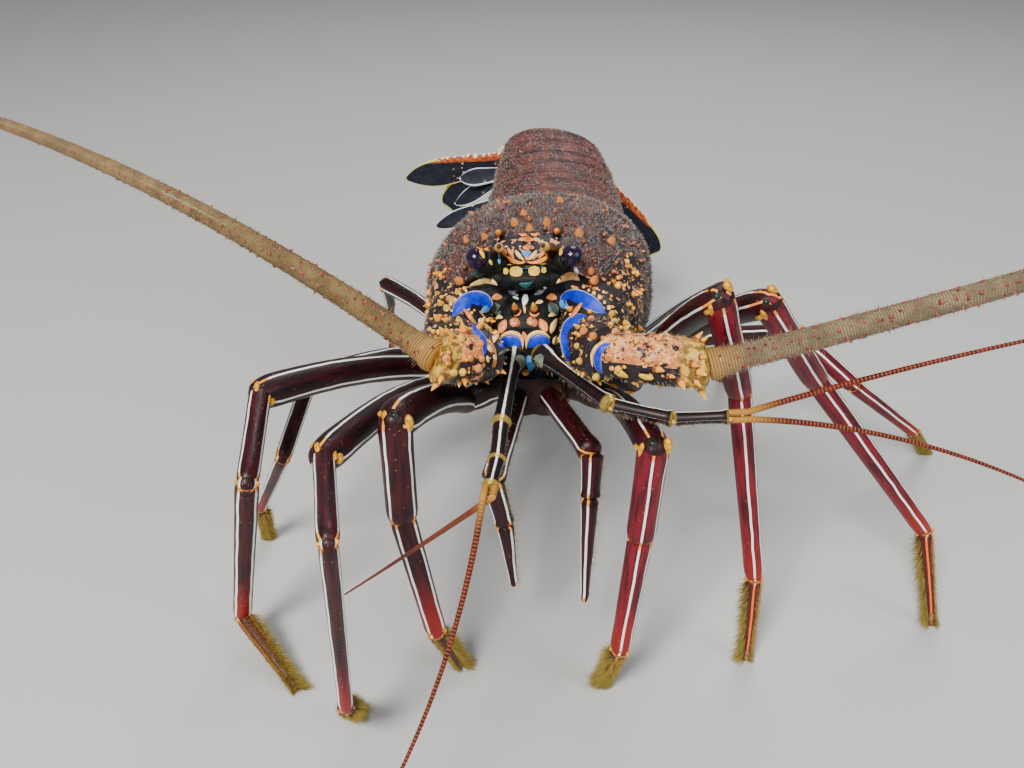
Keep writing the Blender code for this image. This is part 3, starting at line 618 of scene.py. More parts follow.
def spots_on(rings: Array, count: int, rows: tuple = (0.05, 0.95), turns: tuple = (0.0, 1.0)) -> Spots:
    """Random places on a skin, within shares of its length and of its turn.

    Args:
        rings: Points as sections by sides by 3.
        count: Number of places.
        rows: Least and largest share of the length.
        turns: Least and largest share of the turn.

    Returns:
        The places.
    """
    high, sides = rings.shape[0] - 1, rings.shape[1]
    return spots_at(rings, RANDOM.uniform(rows[0] * high, rows[1] * high, count),
                    RANDOM.uniform(turns[0] * sides, turns[1] * sides, count) % sides)


@dataclass(frozen=True)
class SmallShapes:
    """Small shapes that are modelled once and copied many times."""

    spine: Draft
    barb: Draft
    hair: Draft
    bead: Draft


def small_shapes() -> SmallShapes:
    """Models the spine, the barb, the hair and the bead.

    Returns:
        The shapes, each one high along +Z.
    """
    bpy.ops.object.select_all(action="DESELECT")
    bpy.ops.mesh.primitive_cone_add(vertices=3, radius1=1.0, radius2=0.0, depth=1.0, location=(0, 0, 0.5),
                                    end_fill_type="NGON")
    bpy.ops.object.transform_apply(location=True, rotation=True, scale=True)
    return SmallShapes(
        hair=draft_of(bpy.context.object),
        spine=turned(9, ((0, 1.25), (0.14, 1.0), (0.42, 0.76), (0.72, 0.45),
                         (0.92, 0.18), (1.0, 0.05))),
        barb=turned(5, ((0, 1.1), (0.4, 0.75), (1.0, 0.06))),
        bead=turned(8, ((0, 1.1), (0.45, 0.98), (0.85, 0.6), (1.0, 0.15))),
    )


class Wire:
    """Output of a shader node, which can be reckoned with like a number or a vector."""

    def __init__(self, sketch: "Sketch", socket: bpy.types.NodeSocket) -> None:
        """Takes the material's sketch and the output."""
        self.sketch = sketch
        self.socket = socket

    def __add__(self, other: object) -> "Wire":
        """Sum with a number or another output."""
        return self.sketch.calc("ADD", self, other)

    def __radd__(self, other: float) -> "Wire":
        """Sum of a number and this output."""
        return self.sketch.calc("ADD", other, self)

    def __sub__(self, other: object) -> "Wire":
        """This output less a number or another output."""
        return self.sketch.calc("SUBTRACT", self, other)

    def __rsub__(self, other: float) -> "Wire":
        """A number less this output."""
        return self.sketch.calc("SUBTRACT", other, self)

    def __mul__(self, other: object) -> "Wire":
        """Product with a number or another output."""
        return self.sketch.calc("MULTIPLY", self, other)

    def __abs__(self) -> "Wire":
        """Size without the sign."""
        return self.sketch.calc("ABSOLUTE", self)

    def sine(self) -> "Wire":
        """Sine of an angle in radians."""
        return self.sketch.calc("SINE", self)

    def root(self) -> "Wire":
        """Square root."""
        return self.sketch.calc("SQRT", self)

    def above(self, limit: float) -> "Wire":
        """One where the value is over a limit, else zero."""
        return self.sketch.calc("GREATER_THAN", self, limit)

    def below(self, limit: float) -> "Wire":
        """One where the value is under a limit, else zero."""
        return self.sketch.calc("LESS_THAN", self, limit)

    def larger(self, other: object) -> "Wire":
        """The larger of two values."""
        return self.sketch.calc("MAXIMUM", self, other)

    def smaller(self, other: object) -> "Wire":
        """The smaller of two values."""
        return self.sketch.calc("MINIMUM", self, other)

    def split(self) -> tuple["Wire", ...]:
        """X, Y and Z of a vector."""
        node = self.sketch.node("ShaderNodeSeparateXYZ", {"Vector": self})
        return tuple(Wire(self.sketch, socket) for socket in node.outputs)

    def stretch(self, scale: Colour) -> "Wire":
        """A vector with its axes scaled."""
        return self.sketch.add("ShaderNodeMapping", {"Vector": self, "Scale": scale})

    def noise(self, pitch: float, detail: float = 3.0) -> "Wire":
        """Cloudy noise with features about one pitch wide."""
        return self.sketch.add("ShaderNodeTexNoise",
                               {"Vector": self, "Scale": 1.0 / pitch, "Detail": detail})

    def cells(self, pitch: float) -> "Wire":
        """Distance to scattered points about one pitch apart, from 0 to about 1."""
        return self.sketch.add("ShaderNodeTexVoronoi", {"Vector": self, "Scale": 1.0 / pitch}, "Distance")

    def ease(self, low: float, high: float) -> "Wire":
        """Smooth step from 0 at low to 1 at high."""
        return self.sketch.add("ShaderNodeMapRange", {"Value": self, "From Min": low, "From Max": high},
                               interpolation_type="SMOOTHSTEP")

    def within(self, half: float, soft: float) -> "Wire":
        """One where the value is nearer to zero than half, with a soft edge."""
        return 1.0 - abs(self).ease(half - soft, half + soft)

    def ramp(self, stops: Sequence[tuple]) -> "Wire":
        """Colours along the value, given as place and colour.

        Args:
            stops: Place and colour of each stop.

        Returns:
            The colour.
        """
        node = self.sketch.node("ShaderNodeValToRGB", {"Fac": self})
        elements = node.color_ramp.elements
        while len(elements) < len(stops):
            elements.new(0.5)
        for element, (position, colour) in zip(elements, stops):
            element.position = position
            element.color = (*colour, 1.0)
        return Wire(self.sketch, node.outputs["Color"])


class Sketch:
    """Short hand for one material's shader nodes."""

    def __init__(self, name: str, roughness: float = 0.5, coat: float = 0.0, specular: float = 0.4) -> None:
        """Starts a material.

        Args:
            name: Its name.
            roughness: Roughness of its surface.
            coat: Weight of a clear coat over it.
            specular: Strength of its highlights.
        """
        self.finish = bpy.data.materials.new(name)
        self.finish.use_nodes = True
        self.nodes = self.finish.node_tree.nodes
        self.links = self.finish.node_tree.links
        self.inputs = self.nodes["Principled BSDF"].inputs
        self.inputs["Roughness"].default_value = roughness
        self.inputs["Coat Weight"].default_value = coat
        self.inputs["Coat Roughness"].default_value = 0.12
        self.inputs["Specular IOR Level"].default_value = specular

    def feed(self, socket: bpy.types.NodeSocket, value: object) -> None:
        """Links a socket or sets its value.

        Args:
            socket: Input of a node.
            value: An output to link, or a number, vector or colour.
        """
        if isinstance(value, Wire):
            self.links.new(value.socket, socket)
        elif socket.type == "RGBA":
            socket.default_value = (*value, 1.0)
        else:
            socket.default_value = value

    def node(self, kind: str, inputs: dict, **settings: object) -> bpy.types.Node:
        """Adds a node with its settings and inputs.

        Args:
            kind: Type of the node.
            inputs: What its inputs get.
            settings: Its other settings.

        Returns:
            The node.
        """
        node = self.nodes.new(kind)
        for key, value in settings.items():
            setattr(node, key, value)
        for key, value in inputs.items():
            self.feed(node.inputs[key], value)
        return node

    def add(self, kind: str, inputs: dict, output: str | int = 0, **settings: object) -> Wire:
        """Adds a node and gives one of its outputs."""
        return Wire(self, self.node(kind, inputs, **settings).outputs[output])

    def vector(self, name: str) -> Wire:
        """A vector field of the mesh."""
        return self.add("ShaderNodeAttribute", {}, "Vector", attribute_name=name)

    def value(self, name: str) -> Wire:
        """A number field of the mesh."""
        return self.add("ShaderNodeAttribute", {}, "Fac", attribute_name=name)

    def calc(self, operation: str, *values: object) -> Wire:
        """A sum, a product or another operation on numbers."""
        return self.add("ShaderNodeMath", dict(enumerate(values)), operation=operation)

    def mix(self, share: Wire, first: object, second: object) -> Wire:
        """The first colour with a share of the second."""
        return self.add("ShaderNodeMix", {0: share, 6: first, 7: second}, 2, data_type="RGBA")

    def bump(self, height: Wire, distance: float) -> None:
        """Fine relief, with its height in millimetres."""
        self.feed(self.inputs["Normal"], self.add("ShaderNodeBump", {
            "Height": height, "Distance": distance * MM, "Strength": 1.0}))

    def done(self, colour: Wire) -> Material:
        """Sets the colour and gives the finished material."""
        self.feed(self.inputs["Base Color"], colour)
        return self.finish


@dataclass(frozen=True)
class ShellFinish:
    """Red-brown shell with mottling, pale specks and dark grooves."""

    name: str
    base: Colour = (0.105, 0.034, 0.026)
    dark: Colour = (0.018, 0.010, 0.011)
    speck: Colour = (0.30, 0.22, 0.19)
    rim: Colour = (0.85, 0.48, 0.28)
    speck_pitch: float = 1.5
    speck_size: float = 0.30

    def build(self) -> Material:
        """Makes the material. The field ``tone`` has the groove, the rim and the black parts.

        Returns:
            The material.
        """
        sketch = Sketch(self.name, 0.55, 0.05)
        local = sketch.vector("local")
        groove, rim, front = sketch.vector("tone").split()
        cloud = local.noise(9.0).ease(0.35, 0.68)
        colour = sketch.mix(cloud, self.dark, self.base)
        dots = local.cells(self.speck_pitch)
        speck = 1.0 - dots.ease(self.speck_size - 0.08, self.speck_size + 0.05)
        speck = speck * local.noise(4.0).ease(0.36, 0.58)
        colour = sketch.mix(speck, colour, self.speck)
        colour = sketch.mix(groove, colour, self.dark)
        colour = sketch.mix(rim, colour, self.rim)
        blotch = local.noise(2.4, 1.0).ease(0.56, 0.62)
        blotch = blotch * front.below(0.9)
        warm = sketch.mix(local.noise(1.2), (0.66, 0.2, 0.07), (0.86, 0.46, 0.2))
        colour = sketch.mix(front.ease(0.25, 0.6), colour, sketch.mix(blotch, (0.009, 0.009, 0.012), warm))
        height = local.noise(1.3) + speck * 0.8
        sketch.bump(height, 0.35)
        return sketch.done(colour)


@dataclass(frozen=True)
class SpineFinish:
    """Spine or barb, coloured from its root to its tip."""

    name: str
    root: Colour
    middle: Colour
    tip: Colour
    spread: float = 0.35
    start: float = 0.3

    def build(self) -> Material:
        """Makes the material from the fields ``tip`` and ``shade``.

        Returns:
            The material.
        """
        sketch = Sketch(self.name, 0.38, 0.2)
        tip, shade = sketch.value("tip"), sketch.value("shade")
        where = tip + (shade - 0.5) * 0.16
        pale = times(self.middle, 1.4, 0.10)
        middle = sketch.mix(shade * self.spread, self.middle, pale)
        colour = sketch.mix(where.ease(self.start - 0.08, self.start + 0.08), self.root, middle)
        return sketch.done(sketch.mix(where.ease(0.78, 0.95), colour, self.tip))


@dataclass(frozen=True)
class HairFinish:
    """Hair, bristle or fuzz between two colours."""

    name: str
    first: Colour
    second: Colour
    root: Colour

    def build(self) -> Material:
        """Makes the material from the fields ``tip`` and ``shade``.

        Returns:
            The material.
        """
        sketch = Sketch(self.name, 0.75)
        strand = sketch.mix(sketch.value("shade"), self.first, self.second)
        return sketch.done(sketch.mix(sketch.value("tip").ease(0.0, 0.7), self.root, strand))


@dataclass(frozen=True)
class MarkFinish:
    """Painted mark on the head, with a soft edge in a second colour."""

    look: Look

    def build(self) -> Material:
        """Makes the material from the field ``span``: share along and across the mark.

        Returns:
            The material.
        """
        sketch = Sketch("mark " + self.look.name.lower().replace("_", " "), 0.42, 0.1, 0.25)
        base, edge = self.look.value
        _, across, _ = sketch.vector("span").split()
        cloud = sketch.vector("local").noise(2.2)
        light = times(base, 1.12, 0.012)
        deep = times(base, 0.74)
        colour = cloud.ramp(((0.35, deep), (0.5, base), (0.68, light)))
        sketch.bump(cloud, 0.15)
        return sketch.done(sketch.mix(abs(across).ease(0.8, 0.97), colour, edge))


@dataclass(frozen=True)
class PlainShell:
    """Shell between two close colours, with fine relief."""

    name: str
    first: Colour
    second: Colour
    pitch: float = 3.0
    roughness: float = 0.36
    coat: float = 0.15
    specular: float = 0.3

    def build(self) -> Material:
        """Makes the material from the field ``local``.

        Returns:
            The material.
        """
        sketch = Sketch(self.name, self.roughness, self.coat, self.specular)
        local = sketch.vector("local")
        colour = sketch.mix(local.noise(self.pitch).ease(0.35, 0.65), self.first, self.second)
        sketch.bump(local.noise(0.8), 0.2)
        return sketch.done(colour)


@dataclass(frozen=True)
class HornFinish:
    """Horn that is dark at its root, pale before its end and dark at its point."""

    name: str
    pale: Colour
    start: float
    stop: float

    def build(self) -> Material:
        """Makes the material from the field ``span``.

        Returns:
            The material.
        """
        sketch = Sketch(self.name, 0.28, 0.3)
        along, _, _ = sketch.vector("span").split()
        cloud = sketch.vector("local").noise(1.6)
        where = along + (cloud - 0.5) * 0.06
        colour = where.ramp(((0.0, (0.02, 0.008, 0.006)), (self.start - 0.07, (0.06, 0.012, 0.006)),
                             (self.start, self.pale), (self.stop, self.pale),
                             (self.stop + 0.012, (0.08, 0.028, 0.008))))
        return sketch.done(colour)


@dataclass(frozen=True)
class PeduncleFinish:
    """Heavy antenna segment, black with salmon and cream patches that cover more of its top."""

    name: str
    cover: float
    salmon: Colour = (0.60, 0.16, 0.045)
    cream: Colour = (0.82, 0.42, 0.13)
    golden: float = 2.0
    black: Colour = (0.012, 0.009, 0.013)

    def build(self) -> Material:
        """Makes the material from the fields ``local`` and ``span``; golden beyond a share of the length.

        Returns:
            The material.
        """
        sketch = Sketch(self.name, 0.45, 0.08, 0.28)
        local = sketch.vector("local")
        along, around, _ = sketch.vector("span").split()
        off_top = abs(around - 0.27)
        broad = local.noise(6.0, 4.0).ease(0.28, 0.72)
        reach = broad * 0.34 + self.cover - off_top
        salmon = sketch.mix(local.noise(2.2).ease(0.42, 0.62), self.salmon, self.cream)
        salmon = sketch.mix(local.noise(3.6, 1.0).ease(0.6, 0.64), salmon, self.black)
        pits = 1.0 - local.cells(1.6).ease(0.2, 0.27)
        salmon = sketch.mix(pits, salmon, (0.05, 0.014, 0.012))
        spots = 1.0 - local.cells(3.4).ease(0.24, 0.3)
        spots = spots * local.noise(5.0, 1.0).ease(0.42, 0.5)
        warm = sketch.mix(local.noise(4.0).ease(0.45, 0.55), (0.8, 0.34, 0.08), self.cream)
        colour = sketch.mix(spots, self.black, warm)
        colour = sketch.mix(reach.ease(0.0, 0.03), colour, salmon)
        gold = sketch.mix(local.noise(2.6).ease(0.42, 0.58), (0.2, 0.11, 0.015), (0.74, 0.42, 0.06))
        far = (along + broad * 0.1).ease(self.golden, self.golden + 0.1)
        colour = sketch.mix(far, colour, gold)
        sketch.bump(broad + local.noise(0.9), 0.4)
        return sketch.done(colour)


@dataclass(frozen=True)
class WhipFinish:
    """Long antenna in fine rings of olive and tan, pale at its foot."""

    name: str
    tan: Colour
    pitch: float = 1.0

    def build(self) -> Material:
        """Makes the material from the fields ``local`` and ``span``.

        Returns:
            The material.
        """
        sketch = Sketch(self.name, 0.5, 0.1)
        _, _, run = sketch.vector("span").split()
        local = sketch.vector("local")
        wave = (run * (2 * math.pi / self.pitch)).sine()
        cloud = local.noise(8.0)
        tan = sketch.mix(cloud.ease(0.35, 0.65), times(self.tan, 0.55), self.tan)
        tan = sketch.mix(run.ease(16.0, 3.0), tan, (0.5, 0.27, 0.07))
        colour = sketch.mix(wave.ease(0.2, 1.0), tan, times(self.tan, 0.45))
        spots = 1.0 - local.cells(3.2).ease(0.15, 0.22)
        colour = sketch.mix(spots, colour, (0.17, 0.022, 0.012))
        sketch.bump(wave, 0.12)
        return sketch.done(colour)


@dataclass(frozen=True)
class FeelerFinish:
    """Feeler with a pale stripe or with orange rings."""

    name: str
    ringed: bool

    def build(self) -> Material:
        """Makes the material from the field ``span``.

        Returns:
            The material.
        """
        sketch = Sketch(self.name, 0.45, 0.05, 0.2)
        along, around, run = sketch.vector("span").split()
        cloud = sketch.vector("local").noise(2.5)
        if self.ringed:
            wave = (run * (2 * math.pi / 1.3)).sine()
            brown = sketch.mix(cloud.ease(0.4, 0.6), (0.055, 0.006, 0.005), (0.11, 0.014, 0.007))
            colour = sketch.mix(wave.ease(0.45, 0.98), brown, (0.33, 0.075, 0.018))
            colour = sketch.mix(run.ease(20.0, 4.0), colour, (0.4, 0.19, 0.03))
            sketch.bump(wave, 0.1)
            return sketch.done(colour)
        dark = sketch.mix(cloud.ease(0.4, 0.6), (0.022, 0.007, 0.005), (0.005, 0.006, 0.009))
        around = around + (cloud - 0.5) * 0.03
        stripe = (around - 0.27).within(0.023, 0.008)
        colour = sketch.mix(stripe, dark, (0.95, 0.97, 0.92))
        side = (around - 0.5).within(0.022, 0.01)
        colour = sketch.mix(side, colour, (0.10, 0.32, 0.42))
        ends = along.ease(0.07, 0.03) + along.ease(0.93, 0.97)
        colour = sketch.mix(ends, colour, sketch.mix(stripe, (0.24, 0.16, 0.03), (0.85, 0.66, 0.24)))
        return sketch.done(colour)


@dataclass(frozen=True)
class LegFinish:
    """Leg shell, dark maroon with pale lengthwise stripes, redder towards the foot.

    ``stripes`` are the places across the upper side and the half widths of the stripes there.
    """

    name: str
    stripes: tuple
    redness: float
    ember: Colour = (0.95, 0.13, 0.025)
    white: Colour = (0.93, 0.96, 0.94)

    def build(self) -> Material:
        """Makes the material from the fields ``local`` and ``span``.

        Returns:
            The material.
        """
        sketch = Sketch(self.name, 0.42, 0.06, 0.28)
        local = sketch.vector("local")
        x, y, _ = local.split()
        radius = (x * x + y * y).root()
        start, end, kind = sketch.vector("span").split()
        streaks = local.stretch((1.0, 1.0, 0.12)).noise(1.7, 4.0)
        cloud = local.noise(14.0).ease(0.3, 0.66)
        dark = sketch.mix(streaks.ease(0.38, 0.62), (0.006, 0.002, 0.003), (0.028, 0.003, 0.005))
        red = sketch.mix(streaks.ease(0.35, 0.6), (0.06, 0.002, 0.006), (0.19, 0.004, 0.016))
        low = kind.ease(0.7, 2.4) * (self.redness + cloud * (0.3 * self.redness + 0.06))
        foot = kind.above(2.5) * end.ease(40.0, 5.0)
        bright = sketch.mix(streaks, (0.16, 0.004, 0.006), (0.34, 0.014, 0.010))
        red = sketch.mix(foot * foot, red, bright)
        colour = sketch.mix(low.larger(foot).smaller(1.0), dark, red)
        rusty = sketch.mix(streaks, (0.018, 0.006, 0.004), (0.11, 0.018, 0.006))
        last = kind.above(3.5)
        colour = sketch.mix(last, colour, rusty)
        waver = (local.noise(12.0, 1.0) - 0.5) * 0.8
        lines = 0.0
        above = y.ease(-0.2, 0.2)
        for across, half in self.stripes:
            off = x + waver - radius * across
            line = off.within(half, 0.1)
            lines = (line * above).larger(lines)
        behind = (x + waver).within(0.45, 0.1)
        lines = lines.larger(behind * y.ease(0.0, -0.4))
        broken = local.stretch((0.3, 0.3, 0.3)).noise(4.0, 1.0).ease(0.22, 0.28)
        lines = lines * broken.smaller(abs(kind - 0.5).ease(0.1, 0.2))
        ends = start.ease(1.5, 3.5) * end.ease(1.5, 3.5)
        shade = sketch.mix(last, self.white, self.ember)
        shade = sketch.mix(ends, (0.88, 0.34, 0.05), shade)
        colour = sketch.mix(lines, colour, shade)
        specks = 1.0 - local.cells(3.4).ease(0.06, 0.11)
        colour = sketch.mix(specks * 0.6, colour, (0.45, 0.16, 0.09))
        sketch.bump(streaks + local.noise(0.9), 0.25)
        return sketch.done(colour)


@dataclass(frozen=True)
class FanFinish:
    """Lobe of the tail fan or a swimming leaf, dark with a pale rim and fine ribs."""

    name: str
    dark: Colour = (0.005, 0.006, 0.013)
    root: Colour = (0.14, 0.030, 0.016)
    rim: Colour = (0.78, 0.70, 0.16)
    rim_from: float = 0.90
    root_share: float = 0.30

    def build(self) -> Material:
        """Makes the material. The field ``span`` has the share along, the rim and the rib.

        Returns:
            The material.
        """
        sketch = Sketch(self.name, 0.55, 0.0, 0.25)
        along, rim, rib = sketch.vector("span").split()
        local = sketch.vector("local")
        cloud = local.noise(3.5)
        dark = sketch.mix(cloud.ease(0.35, 0.65), self.dark, times(self.dark, 2.4))
        ribs = (rib * 62.0).sine().ease(0.55, 0.95)
        ribbed = sketch.mix(ribs * 0.25, dark, (0.06, 0.06, 0.08))
        where = along + cloud * 0.16
        colour = sketch.mix(where.ease(self.root_share, self.root_share + 0.14), self.root, ribbed)
        spots = 1.0 - local.cells(4.6).ease(0.16, 0.24)
        spots = spots * (1.0 - where.ease(0.4, 0.6))
        colour = sketch.mix(spots, colour, (0.80, 0.52, 0.30))
        edge = (rim + cloud * 0.03).ease(self.rim_from, self.rim_from + 0.03)
        colour = sketch.mix(edge, colour, self.rim)
        sketch.bump(ribs + cloud, 0.2)
        return sketch.done(colour)


@dataclass
class HeadSurface:
    """Head pieces that the photo's marks are laid on, and the room that the marks take."""

    drafts: list = field(default_factory=list)
    covered: list = field(default_factory=list)

    def add(self, *drafts: Draft) -> None:
        """Adds pieces that marks can lie on."""
        self.drafts += drafts

    def tree(self) -> BVHTree:
        """Search tree over all of them."""
        whole = merge([replace(draft, fields={}, patch=None) for draft in self.drafts])
        return BVHTree.FromPolygons(whole.points.tolist(), whole.faces)

    def cover(self, path: Array, radius: Array | float) -> None:
        """Keeps the room round a path of points for a mark."""
        self.covered.append(np.column_stack([path, np.broadcast_to(radius, len(path))]))

    def clear(self, spots: Spots, margin: float = 0.8) -> Spots:
        """Only those places that lie clear of every mark.

        Args:
            spots: Places to choose from.
            margin: Least gap to a mark, in millimetres.

        Returns:
            The places that are left.
        """
        taken = np.concatenate(self.covered)
        distance = np.linalg.norm(spots.roots[:, None] - taken[None, :, :3], axis=2)
        return spots.only(np.all(distance > taken[None, :, 3] + margin, axis=1))


def camera_axes() -> tuple[Array, Array, Array]:
    """Forward, right and up directions of the photo's camera.

    Returns:
        Three unit vectors in the animal's frame.
    """
    forward = np.array((
        -math.sin(CAMERA_AZIMUTH) * math.cos(CAMERA_ELEVATION),
        math.cos(CAMERA_AZIMUTH) * math.cos(CAMERA_ELEVATION),
        -math.sin(CAMERA_ELEVATION),
    ))
    right = unit(np.cross(forward, UP))
    return forward, right, np.cross(right, forward)


def photo_ray(x: float, y: float) -> Array:
    """Direction from the camera through a pixel of the photo.

    Args:
        x: Pixel from the left.
        y: Pixel from the top.

    Returns:
        Unit vector in the animal's frame.
    """
    forward, right, up = camera_axes()
    return unit(forward + right * (x - PHOTO_SIZE[0] / 2) / PHOTO_FOCAL
                - up * (y - PHOTO_SIZE[1] / 2) / PHOTO_FOCAL)


@dataclass
class Carapace:
    """Arched shield over head and thorax, with spines, horns and a coat of fuzz."""

    shapes: SmallShapes
    head: HeadSurface
    front: float = -70.0
    rear: float = 62.0
    floor: float = 12.0
    skirt: float = 4.0
    groove_depth: float = 2.6
    groove_width: float = 4.2
    front_hollow: tuple = ((0.12, 2.0), (0.55, 3.4), (0.84, 3.4), (0.93, 2.6), (0.965, 0.6), (0.985, -0.9))
    rings: int = 170
    sides: int = 150
    large_rows: int = 14
    small_spines: int = 560
    cheek_count: int = 700
    tufts: int = 36000
    stations: tuple = (
        (-70.0, 35.0, 61.0, 36.0), (-56.0, 42.5, 69.0, 37.0), (-32.0, 47.7, 75.5, 38.0),
        (-5.0, 49.5, 77.5, 40.0), (25.0, 48.0, 75.0, 40.0), (48.0, 44.0, 70.5, 39.0),
        (62.0, 41.0, 67.0, 38.0),
    )

    def surface(self, y: Array, angle: Array) -> Array:
        """Local points of the outside at stations and angles round the section.

        Args:
            y: Stations along the body.
            angle: Angles round the section, from the left over the top.

        Returns:
            The points.
        """
        y, angle = np.broadcast_arrays(np.asarray(y, float), np.asarray(angle, float))
        table_y = np.linspace(self.front, self.rear, 400)
        table = smooth_rows(self.stations, table_y)
        half, crown, widest = (np.interp(y, table_y, table[:, k]) for k in range(3))
        rise, run = np.sin(angle), np.cos(angle)
        sink = self.groove(y, rise) * self.groove_depth
        sink += (bell(y, 54.0, 1.7) * 1.3 - bell(y, 59.0, 2.2) * 0.9) * (rise > -0.1)
        sink += bell(y, self.front, 2.0) * 0.8
        top = rise > 0
        x = np.where(top, (half - sink) * signed_power(run, 2.15), half * signed_power(run, 3.0))
        z = widest + np.where(
            top, (crown - widest - sink) * signed_power(rise, 2.15),
            (widest - self.floor + self.skirt) * signed_power(rise, 3.0))
        return np.stack([x, y, np.maximum(z, self.floor)], -1)

    def groove(self, y: Array, rise: Array) -> Array:
        """Depth of the groove between head and thorax, from 0 to 1."""
        return bell(y, 2.0 - 26.0 * (1.0 - np.maximum(rise, 0.0)), self.groove_width)

    def outside(self, y: Array, angle: Array) -> tuple[Array, Array, Array]:
        """Points, outward normals and forward directions in the animal's frame.

        Args:
            y: Stations along the body.
            angle: Angles round the section, from the left over the top.

        Returns:
            One point, normal and direction for each station and angle.
        """
        here = place(self.surface(y, angle))
        ahead = place(self.surface(np.asarray(y) - 0.4, angle))
        beside = place(self.surface(y, np.asarray(angle) + 0.01))
        forward = unit(ahead - here)
        normal = unit(np.cross(forward, beside - here))
        centre = place(np.stack([np.zeros_like(y), y, np.full_like(y, 36.0)], -1))
        flip = np.sign(np.sum(normal * (here - centre), -1, keepdims=True))
        return here, normal * flip, forward

    def black_parts(self, local: Array) -> Array:
        """Share of black mottled shell: the patch between the eyes and both cheeks.

        Args:
            local: Local points.

        Returns:
            The share at each point, from 0 to 1.
        """
        x, y, z = np.moveaxis(local, -1, 0)
        wave = ripple(local, 16.0, 21) * 3.0
        brow = np.clip((-53.5 - y + wave * 0.5) / 3.0, 0, 1) * np.clip((15.5 - np.abs(x)) / 3.0, 0, 1)
        cheek = np.clip((-38.0 - y + wave) / 6.0, 0, 1) * np.clip((57.0 - z + wave) / 6.0, 0, 1)
        return np.maximum(brow * (z > 50), cheek)

    def shell(self) -> Draft:
        """The shield itself, with its front drawn in to a shallow hollow.

        Returns:
            Its mesh, with groove, rim and black share in the field ``tone``.
        """
        y = np.linspace(self.front, self.rear, self.rings)
        grid_y, grid_angle = np.meshgrid(y, turns(self.sides), indexing="ij")
        local = self.surface(grid_y, grid_angle)
        centre = np.array((0.0, 0.0, 36.0))
        outward = unit((local - centre) * (1, 0, 1))
        scale = np.clip((grid_y - self.front) / 12.0, 0, 1) * np.clip((self.rear - grid_y) / 8.0, 0, 1)
        relief = np.abs(ripple(local, 6.5, 3)) * 0.55 + ripple(local, 2.6, 4) * 0.22
        black = self.black_parts(local)
        rise = np.sin(grid_angle)
        local = local + outward * (relief * scale * (rise > -0.6) * (1 - 0.5 * black))[..., None]
        rim = (bell(grid_y, 60.5, 1.1) * (rise > -0.3)) * np.clip(ripple(local, 7.0, 9) * 1.6 + 0.3, 0, 1)
        groove = np.clip(self.groove(grid_y, rise) * 0.5 + bell(grid_y, 54.0, 1.5) * 0.8, 0, 1) * (rise > 0)
        tone = np.stack([groove, np.clip(rim, 0, 1), black * 0.8], -1)
        ends = [(local[0] - centre) * (shrink, 1, shrink) + centre for shrink, _ in self.front_hollow]
        ends.append((local[-1] - centre) * (0.9, 1, 0.9) + centre)
        steps = [self.front + back for _, back in self.front_hollow] + [self.rear - 0.5]
        for row, step in zip(ends, steps):
            row[:, 1] = step
        rings = np.concatenate([ends[:-1], local, ends[-1:]])
        tones = np.concatenate([np.tile((0.0, 0.0, 1.0), (len(self.front_hollow), self.sides, 1)), tone,
                                np.tile((1.0, 0.0, 0.0), (1, self.sides, 1))])
        return skin(place(rings), {"local": rings, "tone": tones})

    def spots(self, y: Array, angle: Array, sink: float = 0.0) -> tuple[Spots, Array]:
        """Places on the shield, with the black share at each.

        Args:
            y: Stations along the body.
            angle: Angles round the section, from the left over the top.
            sink: How deep the places are sunk, in millimetres.

        Returns:
            The places and the black shares.
        """
        black = self.black_parts(self.surface(y, angle))
        roots, normal, forward = self.outside(y, angle)
        patch = np.stack([angle / (2 * math.pi) + 0.1, (y - self.front) / (self.rear - self.front)], -1)
        return Spots(roots - normal * sink, normal, forward, patch), black

    def large_spines(self) -> Draft:
        """Staggered rows of large spines that lean forward.

        Returns:
            All of them as one mesh.
        """
        grid = np.array([(row / (self.large_rows - 1), (index + 0.5) / (9 - row % 2))
                         for row in range(self.large_rows) for index in range(9 - row % 2)])
        share, turn = grid.T
        y = -63.0 + 118.0 * share + RANDOM.uniform(-2.5, 2.5, len(grid))
        angle = np.radians(8.0 + 164.0 * turn) + RANDOM.uniform(-0.07, 0.07, len(grid))
        spots, black = self.spots(y, angle)
        size = (5.6 - 3.2 * share ** 0.7) * RANDOM.uniform(0.45, 1.15, len(grid))
        keep = (black < 0.5) | (np.abs(y + 48) > 14)
        spots, size = spots.only(keep), size[keep]
        return scatter(self.shapes.spine, spots.roots, spots.aims(0.85), 0.19 * size + 0.3, size)

    def fine_spines(self) -> Draft:
        """Many smaller spines between the large ones.

        Returns:
            All of them as one mesh.
        """
        count = self.small_spines
        y = self.front + 3 + (self.rear - self.front - 8) * RANDOM.random(count) ** 1.15
        spots, black = self.spots(y, np.radians(RANDOM.uniform(-12, 192, count)))
        spots = self.head.clear(spots.only(black < 0.4))
        size = (2.9 - 1.4 * spots.patch[:, 1]) * RANDOM.uniform(0.4, 1.2, len(spots.roots))
        return scatter(self.shapes.barb, spots.roots, spots.aims(0.9), 0.24 * size + 0.2, size)

